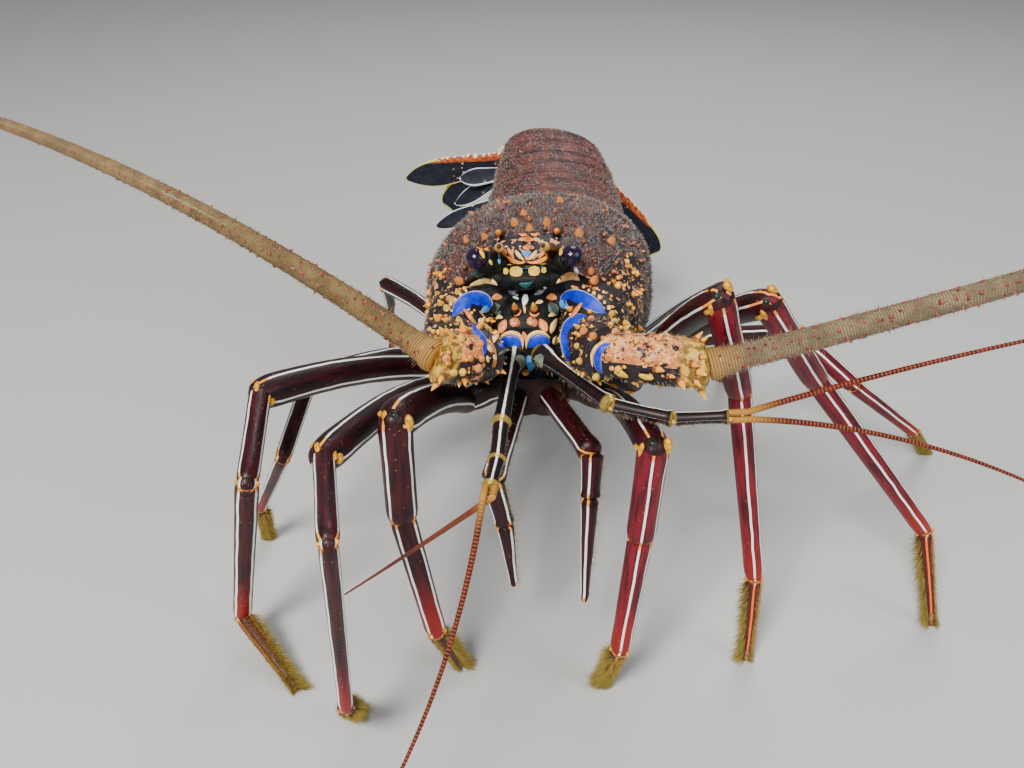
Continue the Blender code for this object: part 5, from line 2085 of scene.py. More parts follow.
    def build(self) -> None:
        """Makes the upper and the lower part, and the brush of the last segment."""
        root, hip, knee, wrist, ankle, foot = self.path
        name, girth, parts = f"leg_{self.side.value}_{self.pair}", self.girth, self.parts
        bow = float(np.linalg.norm(knee - hip)) * self.thigh_bow
        inner = root + (root - hip) * self.root_sunk
        upper = [self.segment(parts.hip, inner, hip, 0.0).painted(LimbLook.SHELL),
                 self.segment(parts.merus, hip, knee, 1.0, bow).painted(LimbLook.SHELL)]
        upper += self.joint_parts(root, hip, knee, self.hip_radius * girth, JointKind.HIP)
        piece(name + "_thigh", merge(upper), self.looks, [name + "_upper"])
        lower = [self.segment(parts.carpus, knee, wrist, 2.0).painted(LimbLook.SHELL),
                 self.segment(parts.propodus, wrist, ankle, 3.0).painted(LimbLook.SHELL),
                 self.segment(parts.dactyl, ankle, foot, 4.0).painted(LimbLook.SHELL),
                 self.segment(parts.claw, ankle, foot, 5.0).painted(LimbLook.CLAW)]
        slim = min(1.0, self.slimness(3.0)[0])
        lower += self.joint_parts(hip, knee, wrist, self.knee_radius * girth, JointKind.KNEE)
        lower += self.joint_parts(knee, wrist, ankle, self.wrist_radius * girth * slim, JointKind.WRIST)
        lower += self.joint_parts(wrist, ankle, foot, self.ankle_radius * girth * slim, JointKind.ANKLE)
        shin = merge(lower)
        shin.points[:, 2] = np.maximum(shin.points[:, 2], 0.0)
        piece(name + "_shin", shin, self.looks, [name + "_lower"])
        piece(name + "_brush", self.bristle_rows(ankle, foot), [self.looks[LimbLook.BRUSH]])


@dataclass
class Maxilliped:
    """Small bent limb that hangs from the mouth."""

    shapes: SmallShapes
    looks: list
    side: Side
    joints: tuple
    root: tuple = (6.2, -62.0, 3.0)
    radii: tuple = (4.6, 4.4, 3.6, 1.4)

    def build(self) -> None:
        """Makes the three segments with a fringe of hairs along them."""
        joints = [self.side.place(self.root), *np.array(self.joints, float)]
        parts, roots, aims = [], [], []
        for index in range(3):
            start, end = joints[index], joints[index + 1]
            length = float(np.linalg.norm(end - start))
            share = np.linspace(0, 1, 26)
            near, far = self.radii[index:index + 2]
            size = (near + (far - near) * share) * (1 + 0.12 * bell(share, 0.93, 0.08))
            size = size * np.where((share < 0.02) | (share > 0.98), 0.7, 1)
            path = start + (end - start) * share[:, None]
            rings = sections_along(path, -BODY_BACK, size, size, sides=24)
            aim = unit(end - start)
            side = unit(np.cross(aim, -BODY_BACK))
            offset = rings - path[:, None]
            run = (share * length)[:, None]
            local = layers(offset @ side, offset @ np.cross(side, aim), offset @ aim + run)
            span = layers(run, length - run, 1.0)
            parts.append(skin(rings, {"local": local, "span": span}).painted(LimbLook.SHELL))
            count = 150
            pick = RANDOM.integers(1, 25, count), RANDOM.integers(9, 23, count)
            roots.append(rings[pick])
            aims.append(unit(rings[pick] - path[pick[0]]) + aim * 0.6)
        name = "maxilliped_" + self.side.value
        piece(name + "_shell", merge(parts), self.looks[:1], [name])
        roots, aims = np.concatenate(roots), np.concatenate(aims)
        fringe = scatter(self.shapes.hair, roots, aims, 0.1, RANDOM.uniform(1.5, 3.6, len(roots)),
                         RANDOM.random((len(roots), 2)))
        piece(name + "_fringe", fringe, [self.looks[LimbLook.BRUSH]])


@dataclass
class Abdomen:
    """Six arched segments with their side teeth and swimming leaves."""

    shapes: SmallShapes
    lengths: tuple = (14.0, 25.0, 25.0, 25.0, 22.0, 15.0)
    root_height: float = 44.0
    half_widths: tuple = (39.0, 38.5, 37.5, 36.0, 33.0, 29.5, 24.0)
    crowns: tuple = (22.0, 22.0, 22.0, 21.5, 20.5, 18.5, 13.5)
    bellies: tuple = (17.5, 17.5, 17.5, 17.0, 15.0, 9.0, 7.0)
    rises: tuple = (-12.2, -4.0, 3.0, 14.0, 19.0, 8.0, -66.0)
    yaws: tuple = (90.0, 92.5, 94.0, 95.0, 95.5, 97.0, 121.0)
    rolls: tuple = (4.0, 3.0, 2.0, 0.0, -4.0, -11.0, 0.0)
    tail_up: tuple = (88.0, 21.0)
    sides: int = 96
    rows: int = 30
    granules: int = 1700
    tufts: int = 2600
    leaves: dict = field(default_factory=lambda: {
        Side.LEFT: ((1, 55.0, 38.0), (2, 55.0, 38.0), (3, 55.0, 38.0), (4, 55.0, 38.0)),
        Side.RIGHT: ((1, 42.0, 38.0), (2, 42.0, 38.0), (3, 27.0, 48.0), (4, 41.0, 42.0), (4, 16.0, 32.0)),
    })

    def frames(self) -> list[tuple]:
        """Centre, direction, up, half width, crown and belly at each joint.

        Returns:
            One row for each joint, from the shield to the tail fan.
        """
        centre = place(np.array((0.0, 62.3, self.root_height)))
        found = []
        for index, (half, crown, belly) in enumerate(zip(self.half_widths, self.crowns, self.bellies)):
            along = BODY_BACK if index == 0 else heading(self.yaws[index], self.rises[index])
            level = unit(np.cross(along, UP))
            turn = Matrix.Rotation(math.radians(-self.rolls[index]), 3, Vector(along))
            up = np.array(turn @ Vector(np.cross(level, along)))
            if index == len(self.lengths):
                up = heading(*self.tail_up)
            found.append((centre, along, up, half, crown, belly))
            if index < len(self.lengths):
                following = heading(self.yaws[index + 1], self.rises[index + 1])
                centre = centre + unit(along + following) * self.lengths[index]
        return found

    def segment(self, front: tuple, rear: tuple, first: bool, last: bool) -> tuple[Draft, Array]:
        """One arched segment that slides under the rim of the one before it.

        Args:
            front: Frame of the joint before it.
            rear: Frame of the joint after it.
            first: Whether it is the first one.
            last: Whether it is the last one.

        Returns:
            Its mesh and its sections.
        """
        share = np.linspace(-0.04 if first else -0.10, 1.0, self.rows)
        share = np.concatenate([share, [1.012, 1.0]])
        bounded = np.clip(share, -0.1, 1.0)[:, None]
        centre, along, up = (front[k] + (rear[k] - front[k]) * bounded for k in range(3))
        half, crown, belly = (front[k] + (rear[k] - front[k]) * bounded[:, 0] for k in (3, 4, 5))
        swell = 0.955 + 0.045 * np.clip(share / 0.14, 0, 1) + 0.045 * np.clip(share, 0, 1)
        swell = swell + 0.008 * bell(share, 0.94, 0.04)
        if not last:
            swell[-1] = 0.93
        sink = 1.2 * bell(share, 0.46, 0.035) + 0.7 * bell(share, 0.86, 0.03)
        rings = sections_along(centre, up, half * swell, crown * swell - sink, belly * swell * 0.97,
                               self.sides, (2.1, 3.2), along)
        rise = np.sin(turns(self.sides))[None]
        outward = unit(rings - centre[:, None])
        body = np.clip(share / 0.15, 0, 1)[:, None] * (rise > 0.0)
        relief = np.abs(ripple(rings, 4.5, 12)) * 0.28 + ripple(rings, 1.9, 13) * 0.10
        rings = rings + outward * (relief * body)[..., None]
        groove = np.clip(bell(share, 0.46, 0.04) + bell(share, 0.86, 0.035)
                         + (share < 0.12), 0, 1)[:, None] * (rise > 0)
        rim = (bell(share, 0.985, 0.022)[:, None] * (rise > -0.05)) * (0.5 + 0.5 * ripple(rings, 6.0, 14))
        belly_tone = (rise < -0.12) * np.ones_like(groove) * 0.5
        tone = np.stack([np.clip(groove + belly_tone, 0, 1), np.clip(rim, 0, 1), groove * 0], -1)
        return skin(rings, {"local": rings, "tone": tone}), rings

    def tooth(self, frame: tuple, sign: float) -> Draft:
        """Pointed plate at the lower side edge of a segment.

        Args:
            frame: Frame in the middle of its segment.
            sign: Direction of its side along X.

        Returns:
            The plate.
        """
        centre, along, up, half, _, belly = frame
        outward = unit(np.cross(along, up)) * sign
        root = centre + outward * half * 0.86 - up * belly * 0.42
        aim = unit(along * 0.45 - up + outward * 0.15)
        share = np.linspace(-0.25, 1.0, 26)
        clipped = np.clip(share, 0, 1)
        width = 8.6 * (1 - clipped ** 1.5) ** 0.8 + 0.25
        thick = 1.9 * (1 - clipped ** 2) ** 0.6 + 0.25
        path = root + aim * 13.0 * share[:, None] + along * 1.8 * clipped[:, None] ** 2
        rings = sections_along(path, outward, width, thick, sides=28)
        rim = np.clip(np.abs(np.cos(turns(28))) ** 6, 0, 1)[None]
        return skin(rings, {"local": rings, "tone": layers(0.15, rim * 0.7, 0.0)})

    def leaf(self, frame: tuple, side: Side, drop: float, length: float) -> Draft:
        """Swimming leaf under a side edge, turned down by ``drop`` degrees.

        Args:
            frame: Frame in the middle of its segment.
            side: Its side.
            drop: Its angle under the level, in degrees.
            length: Its length.

        Returns:
            The leaf.
        """
        centre, along, up, half, _, belly = frame
        outward = unit(np.cross(along, up)) * side.sign
        drop = math.radians(drop)
        root = centre + outward * half * (0.7 + 0.12 * (side is Side.RIGHT)) - up * belly * 0.55
        aim = outward * math.cos(drop) - up * math.sin(drop)
        face = up * math.cos(drop) + outward * math.sin(drop)
        turn = math.radians(28.0)
        face = face * math.cos(turn) - along * math.sin(turn)
        return blade(root, aim, face, length, (3.5, 7.0), 1.2, 0.95)

    def coat(self, spots: Spots, aims: Array, stray: float, radii: tuple, lengths: tuple,
             chart: Array) -> Draft:
        """Small hairs on a segment.

        Args:
            spots: Where they stand.
            aims: Where they point.
            stray: How much their directions stray.
            radii: Least and largest radius.
            lengths: Least and largest length.
            chart: Their places on the coat's map.

        Returns:
            The hairs as one mesh.
        """
        count = len(spots.roots)
        aims = aims + RANDOM.normal(0, stray, (count, 3))
        return scatter(self.shapes.hair, spots.roots, aims, RANDOM.uniform(*radii, count),
                       RANDOM.uniform(*lengths, count), chart)

    def build(self) -> tuple:
        """Makes the segments and gives the frame that the tail fan starts from.

        Returns:
            That frame.
        """
        frames = self.frames()
        shell = ShellFinish("abdomen shell", (0.150, 0.032, 0.024), (0.020, 0.008, 0.009),
                            (0.36, 0.29, 0.27), (0.40, 0.17, 0.11), 1.25, 0.34)
        leaf = FanFinish("swimming leaf", rim=(0.80, 0.92, 0.90), rim_from=0.85, root_share=0.02)
        grain = SpineFinish("abdomen granule", (0.10, 0.028, 0.022), (0.20, 0.075, 0.055), (0.32, 0.18, 0.14))
        fuzz = HairFinish("abdomen fuzz", (0.16, 0.14, 0.13), (0.36, 0.31, 0.28), (0.05, 0.03, 0.03))
        grains, tufts = [], []
        for index in range(6):
            front, rear = frames[index], frames[index + 1]
            body, rings = self.segment(front, rear, index == 0, index == 5)
            parts = [body.painted(0)]
            middle = tuple((a + b) / 2 for a, b in zip(front, rear))
            if index:
                parts += [self.tooth(middle, side.sign).painted(0) for side in Side]
            parts += [self.leaf(middle, side, drop, length).painted(1)
                      for side in Side for segment, drop, length in self.leaves[side] if segment == index]
            piece(f"abdomen_{index + 1}_shell", merge(parts), [shell, leaf],
                  [f"abdomen_{index + 1}"])
            spots = spots_on(rings, self.granules, (0.16, 0.94), (0.0, 0.5))
            lines = bell(spots.patch[:, 0], 0.476, 0.028) + bell(spots.patch[:, 0], 0.817, 0.028)
            spots = spots.only(RANDOM.random(len(lines)) > lines)
            grains.append(self.coat(spots, spots.aims(0.9), 0.3, (0.22, 0.40), (0.4, 0.8),
                                    spots.patch * (0.16, 1.9) + (index / 6, 0)))
            spots = spots_on(rings, self.tufts, (0.14, 0.96), (-0.04, 0.54))
            edge = np.minimum(spots.patch[:, 1] % 0.96, np.abs(0.5 - spots.patch[:, 1]))
            spots = spots.only(RANDOM.random(len(edge)) < bell(edge, 0.0, 0.10) + 0.02)
            tufts.append(self.coat(spots, spots.aims(0.6, 0.8), 0.5, (0.14, 0.3), (0.8, 2.4),
                                   spots.patch * (0.16, 0.98) + (index / 6, 0)))
        piece("abdomen_granules", merge(grains), [grain])
        piece("abdomen_fuzz", merge(tufts), [fuzz])
        return frames[-1]


def blade(root: Array, aim: Array, normal: Array, length: float, half_widths: tuple,
          thickness: float, point: float = 0.5) -> Draft:
    """Rounded blade with a rim and ribs, such as a lobe of the tail fan.

    Args:
        root: Middle of its root.
        aim: Where it points.
        normal: Where its upper face looks.
        length: Its length.
        half_widths: Half width at its root and at its widest.
        thickness: Its thickness in the middle.
        point: How pointed its end is: one half for a round end, one for a pointed end.

    Returns:
        The blade, with share along, rim and rib in the field ``span``.
    """
    across = unit(np.cross(aim, normal))
    normal = np.cross(across, aim)
    share = np.linspace(0, 1, 60)
    half = half_widths[0] + (half_widths[1] - half_widths[0]) * np.sin(share * math.pi / 2)
    half = half * np.maximum(1 - np.maximum(share - 0.55, 0) ** 2 / 0.2025, 0.004) ** point
    reach = 1 - (1 - share) ** 1.15
    centre = root + aim * (length * reach)[:, None]
    angle = turns(68)
    wide = signed_power(np.cos(angle), 2.6)[None]
    end = 1 - length * (1 - reach)[:, None] / half_widths[1]
    rim = np.maximum(np.abs(wide), end)
    rib = 0.13 * np.sin(wide * 31.0) * np.clip(half / half_widths[1], 0, 1)[:, None] * (rim < 0.85)
    face = np.sign(np.sin(angle))[None]
    high = (thickness / 2 * signed_power(np.sin(angle), 2.0))[None] + rib * face
    high = high + 0.3 * bell(rim, 0.95, 0.05) * face * (rim < 0.99)
    camber = 0.9 * (1 - wide**2)
    rings = centre[:, None] + across * (half[:, None] * wide)[..., None] + normal * (high + camber)[..., None]
    return skin(rings, {"local": rings, "span": layers(share[:, None], rim, (wide + 1) / 2)})


@dataclass
class TailFan:
    """Telson in the middle and a forked uropod on either side."""

    shapes: SmallShapes
    start: tuple
    telson: float = 60.0
    endopod: float = 58.0
    exopod: float = 68.0
    endopod_spread: dict = field(default_factory=lambda: {Side.LEFT: 20.0, Side.RIGHT: 32.0})
    exopod_spread: dict = field(default_factory=lambda: {Side.LEFT: 47.0, Side.RIGHT: 63.0})
    step: float = 2.4

    def build(self) -> None:
        """Makes the telson and both uropods."""
        centre, along, up, half = self.start[:4]
        side_way = unit(np.cross(along, up))
        start = centre + along * 0.3
        fan = FanFinish("tail fan", root_share=0.05)
        block = ShellFinish("tail root shell", (0.06, 0.016, 0.012))
        rim = PlainShell("tail edge", (0.24, 0.028, 0.010), (0.62, 0.13, 0.02), 2.4)
        knob = SpineFinish("tail knob", (0.60, 0.12, 0.03), (0.92, 0.58, 0.34), (0.97, 0.86, 0.74), 0.8, 0.2)
        telson = blade(start + up * self.step - along * 4, along, up, self.telson + 4, (10.0, 17.0), 2.4)
        piece("telson_blade", telson, [fan], ["telson"])
        for side in Side:
            outward = side_way * side.sign
            root = start + outward * (half * 0.76)
            elbow = root + outward * (11.0 + 6.0 * (side is Side.LEFT)) + along * 5.0
            aim = unit(elbow - root)
            share = np.linspace(0, 1, 20)
            path = root - aim * 2 + (elbow + aim * 7 - root) * share[:, None]
            size = 5.8 - 1.6 * share
            size = size * np.where((share < 0.02) | (share > 0.98), 0.6, 1)
            rings = sections_along(path, up, size, size * 0.9, sides=28)
            parts = [skin(rings, {"local": rings, "tone": rings * 0}).painted(1)]
            for spread, length, widths, step, point in (
                (self.endopod_spread, self.endopod, (5.0, 13.0), 0.0, 0.5),
                (self.exopod_spread, self.exopod, (5.0, 12.0), -self.step, 0.5 if side is Side.LEFT else 1.1),
            ):
                angle = math.radians(spread[side])
                way = along * math.cos(angle) + outward * math.sin(angle)
                parts.append(blade(elbow + up * step, way, up, length, widths, 2.0, point).painted(0))
                edge, knobs = self.leading_edge(elbow + up * step, way, up, length, widths, side)
                parts += [edge.painted(3), knobs.painted(2)]
            piece(f"uropod_{side.value}_lobes", merge(parts), [fan, block, knob, rim],
                  ["uropod_" + side.value])

    def leading_edge(self, root: Array, way: Array, up: Array, length: float, widths: tuple,
                     side: Side) -> tuple[Draft, Draft]:
        """Thick outer edge of a lobe and the row of pale knobs on it.

        Args:
            root: Where the lobe starts.
            way: Where it points.
            up: Where its upper face looks.
            length: Its length.
            widths: Half width at its root and at its widest.
            side: Its side.

        Returns:
            The edge and the knobs.
        """
        across = unit(np.cross(way, up)) * side.sign
        share = np.linspace(-0.14, 0.66, 26)
        half = widths[0] + (widths[1] - widths[0]) * np.sin(share * math.pi / 2)
        reach = 1 - np.abs(1 - share) ** 1.15
        path = root + way * (length * reach)[:, None] + across * (half * 0.86)[:, None] + up * 0.3
        size = 2.2 * (1 - (share / 0.67) ** 2) ** 0.5 + 0.2
        rings = sections_along(path, up, size, size * 0.72, sides=18)
        edge = skin(rings, {"local": rings, "tone": rings * 0})
        row = np.repeat(np.linspace(1, 24, 13), 2) + RANDOM.uniform(-0.4, 0.4, 26)
        turn = np.tile((4.5, 4.5 - 4.0 * side.sign), 13) + RANDOM.uniform(-0.8, 0.8, 26)
        spots = spots_at(rings, row, turn % 18)
        size = (3.0 - row * 0.06) * RANDOM.uniform(0.6, 1.1, 26)
        knobs = scatter(self.shapes.bead, spots.roots, spots.aims(0.6), size * 0.75, size, sink=0.25)
        return edge, knobs


def dots(*spots: tuple) -> list[tuple]:
    """Rows of round marks at pixels of the photo, each given as x, y and radius."""
    return [(0.8, (x - radius * 0.8, y, radius * 0.7), (x, y, radius), (x + radius * 0.8, y, radius * 0.7))
            for x, y, radius in spots]


# Painted lobes of the head by colour. Each has the height of its dome in millimetres, then the places
# along its middle line in the photo, as x, y and half width in pixels.
MARKS = {
    Look.BLUE: (
        (0.45, (452.8, 317, 1.5), (459, 307, 6.2), (468.5, 301, 8.8), (479, 300.6, 9.8), (486, 304.6, 8),
         (487.5, 309.5, 3)),
        (0.45, (561.5, 304, 3), (567, 298.4, 6.8), (576, 296.8, 7.8), (586, 300.8, 8), (595.5, 306.2, 6.6),
         (605.8, 313.8, 1.2)),
        (0.45, (472.4, 323.2, 1.2), (476, 330.5, 3), (481.5, 337, 3.6), (484.6, 345, 3),
         (484.4, 355.5, 1.3)),
        (0.45, (586, 315.5, 1.4), (577, 318.2, 4.8), (569.6, 325.8, 6.6), (566.2, 337, 6.4),
         (567, 349, 5.4), (568.6, 362.4, 1.8)),
        (0.3, (610.6, 343.2, 1.2), (602, 348, 3.2), (597.6, 356, 3.8), (598.2, 366, 3.4),
         (602, 374.4, 1.2)),
        (0.9, (499.4, 347.4, 2), (503.6, 343.4, 5.8), (510.6, 342.2, 7.4), (517.4, 343.8, 5.8),
         (520.8, 347.6, 2)),
        (0.9, (528.8, 348, 2), (532.4, 343.2, 5.8), (539, 341.2, 7.2), (545.4, 342.2, 5.2),
         (549.2, 345.4, 1.8)),
    ),
    Look.LIGHT_BLUE: (
        (0.6, (488.8, 302, 1), (487, 308, 3.4), (481.5, 312, 1.4)),
        (0.6, (560.8, 300, 1.2), (563.4, 304.8, 3.6), (568.4, 307.4, 1.4)),
        (0.6, (521.6, 251.6, 0.8), (526.4, 253.8, 3), (531.4, 251.6, 0.8)),
        (0.5, (509.6, 266.8, 0.4), (526, 268.4, 0.7), (543.6, 266, 0.4)),
        (0.45, (499.6, 257, 0.7), (499.4, 260.4, 1.5), (499.6, 264.2, 0.6)),
        (0.45, (528, 355.6, 1.8), (530.4, 363, 4.4), (530.4, 371.4, 1.4)),
    ),
    Look.GREEN: (
        (0.6, (492.6, 302.6, 1.6), (496, 308.4, 4.8), (499.4, 314.6, 1.6)),
        (0.6, (549, 303, 1.6), (553.4, 308.6, 5), (556.2, 315.4, 1.6)),
        (1.2, (502.6, 350, 4.6), (506.4, 357.6, 9), (509.4, 366.8, 4.6)),
        (1.2, (533.8, 348, 3.6), (540.2, 352.6, 7), (547.6, 358.8, 2.8)),
    ),
    Look.TEAL: (
        (0.6, (473, 274, 1.6), (479.6, 275.4, 4.4), (483.6, 280.4, 1.6)),
        (0.45, (519, 283.4, 1), (526, 285.2, 2.8), (532.8, 281.8, 0.8)),
    ),
    Look.CREAM: (
        (0.3, (608, 340.6, 0.8), (597.6, 345.2, 1.5), (592.2, 355, 1.8), (592.6, 367, 0.8)),
        (1, (498, 339.8, 0.9), (504.6, 334.6, 2), (512.4, 333, 2.5), (519.4, 335.8, 2.2),
         (522.6, 342.4, 1.5), (522.6, 349, 0.7)),
        (1, (526.4, 349, 0.7), (526.6, 342.4, 1.5), (529.8, 336, 2.2), (536.6, 332.6, 2.4),
         (543.8, 333.2, 2), (550.4, 338.2, 0.9)),
        (0.45, (535.6, 303.2, 0.8), (539.4, 301.8, 2.2), (543.2, 301.6, 0.8)),
        (0.45, (548.4, 316.4, 0.8), (552.8, 314.2, 2.4), (558.6, 314, 0.8)),
        (0.45, (495.8, 318.4, 0.8), (499.2, 316.8, 2.2), (502.6, 318, 0.8)),
        (0.45, (523, 304.6, 0.7), (524.6, 308.6, 1.4), (524.8, 313.4, 0.6)),
        (0.8, (469.4, 286, 1.2), (476.8, 283.2, 2.8), (485, 280.8, 3.2), (492, 281.8, 2.8),
         (497.6, 285.6, 0.9)),
        (0.8, (556.4, 283.4, 1), (563.6, 278.2, 3.4), (571.6, 276, 4.2), (579.8, 280.4, 1.3)),
        *dots((583.6, 286.4, 2), (588.8, 290.2, 1.7), (594, 292.8, 2.2), (599.6, 297.2, 2.4),
              (604.6, 302.2, 1.9), (609, 307.6, 2.5), (597, 288.4, 1.4), (603.4, 291.8, 1.6),
              (466, 290.4, 1.6), (461, 294.8, 2), (455.4, 299.4, 1.6), (456.4, 289.6, 1.3),
              (450.6, 303.6, 2.1), (446.8, 309.8, 1.7), (451.6, 310.6, 1.4)),
        (0.45, (515, 250, 0.8), (518.8, 255.2, 2.2), (523.6, 260, 0.7)),
        (0.45, (536.8, 250, 0.8), (533.2, 255.2, 2.2), (528.6, 260, 0.7)),
        (0.45, (488, 318.4, 0.6), (492.6, 318, 1.2), (497, 319.2, 0.6)),
        (0.7, (483.6, 322.6, 0.8), (490.4, 329.4, 2), (495.4, 334.6, 3.8), (493.4, 343, 0.9)),
        (0.7, (557.8, 318.2, 1), (553.6, 325.6, 3.4), (550.8, 333.6, 1)),
        (0.7, (558, 335, 1), (556, 340.2, 3.4), (553.6, 344.6, 1.2)),
        (0.8, (488, 345.4, 1), (490.4, 348.6, 2.9), (492.4, 352.2, 1)),
        (0.45, (487.4, 355.6, 0.8), (487.8, 359, 1.8), (488.4, 362.6, 0.8)),
        (0.45, (494, 354.4, 0.8), (495, 357.2, 2), (496.4, 359.6, 0.8)),
    ),
    Look.WHITE: (
        (0.45, (507.6, 291, 0.9), (513.2, 292.8, 2.3), (518.6, 295.4, 0.7)),
        (0.45, (534, 294.4, 0.7), (540.2, 291.6, 2.6), (546.4, 287.4, 0.9)),
        (0.45, (525.8, 293.8, 1.6), (525, 299.6, 3.2), (523.8, 305.6, 1.4)),
        (0.45, (512.6, 296.8, 0.5), (515.8, 297.6, 1.4), (518.8, 299, 0.4)),
        (0.5, (574.8, 267, 1.2), (576.2, 271.6, 2.4), (576.8, 276, 1.2)),
        (0.45, (478.6, 319.2, 1.2), (480.5, 320.4, 2.4), (482.4, 321.8, 1.2)),
    ),
    Look.OLIVE: (
        (0.6, (509.6, 272, 3.6), (516, 271.6, 5.6), (522.6, 272.4, 3.6)),
        (0.6, (528.4, 271.8, 3.4), (534.2, 271, 5.4), (540, 271.4, 3.4)),
        (0.6, (503.2, 271, 2.2), (505.8, 271.2, 3.6), (508.4, 271.8, 2.2)),
        (0.6, (541.2, 270.4, 2), (543.8, 270, 3.3), (546.4, 269.6, 2)),
        (0.45, (489.4, 259.6, 0.8), (490.8, 262.4, 1.7), (492.2, 265.4, 0.6)),
    ),
    Look.YELLOW: (
        (0.25, (479.6, 250, 1), (482.4, 253.8, 2), (484.4, 258.4, 1)),
        (0.25, (563.4, 246, 1), (561.4, 250.6, 2.1), (560, 255.6, 1)),
        (0.5, (507, 264.6, 0.6), (526, 266.2, 0.9), (546.4, 263.6, 0.6)),
        (1.6, (614, 371.4, 1.4), (621, 374, 3.4), (628.4, 377.4, 1.2)),
        (1.6, (638.6, 374.8, 1.4), (645, 377, 3), (652.4, 379.6, 1.2)),
    ),
    Look.ORANGE: (
        (0.45, (476.4, 247.2, 0.6), (483.6, 249.5, 1.2), (488.2, 247.8, 1)),
        (0.45, (548, 254, 0.5), (551.6, 250.6, 1), (555.6, 249.4, 0.5)),
        (0.45, (505.6, 255.6, 0.9), (511.8, 260.4, 2.4), (520, 262.8, 1.5), (525.8, 261.6, 0.9)),
        (0.45, (548.8, 255.4, 0.9), (542, 260.2, 2.4), (533, 262.6, 1.5), (526.8, 261.6, 0.9)),
    ),
    Look.SALMON: (
        (0.45, (523, 331.6, 0.8), (524.6, 336.4, 2.8), (525.2, 341.6, 0.9)),
        (0.7, (505.8, 319.6, 1.2), (502.6, 326.4, 4.6), (499.4, 333.6, 1.3)),
        (0.7, (539.8, 319, 1.2), (543.4, 325.4, 4.6), (547.2, 331.8, 1.3)),
        (0.6, (511.6, 311.4, 2.6), (516.2, 311.6, 5.2), (520.8, 313.4, 2.6)),
        (0.6, (529.6, 313.2, 2.6), (534.4, 312.4, 5), (539.4, 311.4, 2.6)),
        (1, (509.6, 322.2, 2.6), (514, 322.4, 4.9), (518.4, 322.8, 2.6)),
        (1, (526.8, 321.6, 2.6), (531, 321.2, 4.7), (535.2, 321, 2.6)),
        (0.45, (491.8, 299, 1.2), (496.8, 297, 3.6), (502.4, 297.6, 1.2)),
        (0.45, (546.4, 297.6, 1.2), (551.8, 296.8, 4), (556.8, 299.2, 1.2)),
        *dots((487.4, 213.4, 1.6), (491, 209.6, 1.9), (495.2, 206.8, 1.5), (499.4, 204.4, 2),
              (504, 202.6, 2.2), (509, 201.4, 1.8)),
        (1.8, (475.4, 324, 1), (470, 316.4, 2.5), (463.4, 308.6, 1.1)),
        (1.8, (570.6, 318.2, 1), (576, 310.6, 2.6), (582.4, 302.4, 1.1)),
        (0.7, (522.6, 239.8, 0.8), (528.2, 239.2, 2.7), (533.8, 240, 0.8)),
        (0.7, (522.4, 247.8, 0.8), (528.2, 247.2, 3), (534.4, 248, 0.8)),
        (0.45, (507.6, 247.4, 0.8), (510.2, 253, 2.2), (514, 258.6, 0.7)),
        (0.45, (545.4, 247.4, 0.8), (542.4, 253, 2.2), (538.6, 258.4, 0.7)),
        (0.45, (518.6, 233.6, 0.6), (523, 235, 1.6), (527, 234, 0.6)),
        (0.45, (530.2, 233.6, 0.6), (534.6, 234.8, 1.6), (538.8, 232.8, 0.6)),
    ),
}

# Spines of the head that the photo shows: root in the photo as x and y, length and radius in
# millimetres, and finish number
BARBS = (
    (459.1, 321.4, 4.2, 1.4, 1), (447.6, 320.8, 4.2, 1.4, 1), (461, 338.3, 4.6, 1.5, 1),
    (480.8, 344, 4, 1.3, 0), (453.4, 372.2, 4.6, 1.5, 1), (462.3, 371.9, 4.6, 1.5, 1),
    (478.3, 368.1, 4.6, 1.6, 0), (446.4, 358.5, 4, 1.6, 0), (470, 358.3, 3.4, 1.2, 0),
    (481.5, 359, 3.4, 1.2, 0), (584.1, 331.4, 4.2, 1.5, 0), (591.4, 319.2, 3.8, 1.4, 0),
    (592.9, 336, 4, 1.5, 0), (612, 314, 4.2, 1.4, 1), (614.2, 322, 4.4, 1.5, 1), (614.9, 332.6, 5, 1.7, 0),
    (609, 357.1, 3.8, 1.5, 0), (580.4, 360.8, 4, 1.4, 1), (577.5, 346.1, 3.2, 1.2, 1),
    (595.8, 376.6, 4.6, 1.5, 1), (618.6, 369.3, 4, 1.5, 1), (569.4, 364, 4.6, 1.7, 1),
    (525.8, 373, 4.6, 1.6, 0), (452, 300, 4.4, 1.5, 1), (458, 293, 4, 1.4, 1), (447, 309, 4.4, 1.6, 1),
    (460, 281.7, 6, 1.9, 0), (579, 234.7, 6.5, 2.1, 0), (590.6, 271.8, 5, 1.6, 0), (594, 281, 6, 1.9, 0),
    (611, 242, 6, 1.9, 0), (485, 237.5, 4.6, 1.5, 0), (467, 241.5, 4.2, 1.4, 0), (530, 229.5, 5.5, 1.7, 0),
    (515, 224.5, 6, 1.9, 0), (547, 223.5, 6, 1.9, 0), (528.2, 240, 5, 1.5, 0), (528.2, 247.6, 4, 1.3, 0),
    (560, 201.5, 5, 1.8, 0), (524, 214.5, 5, 1.7, 0),
)


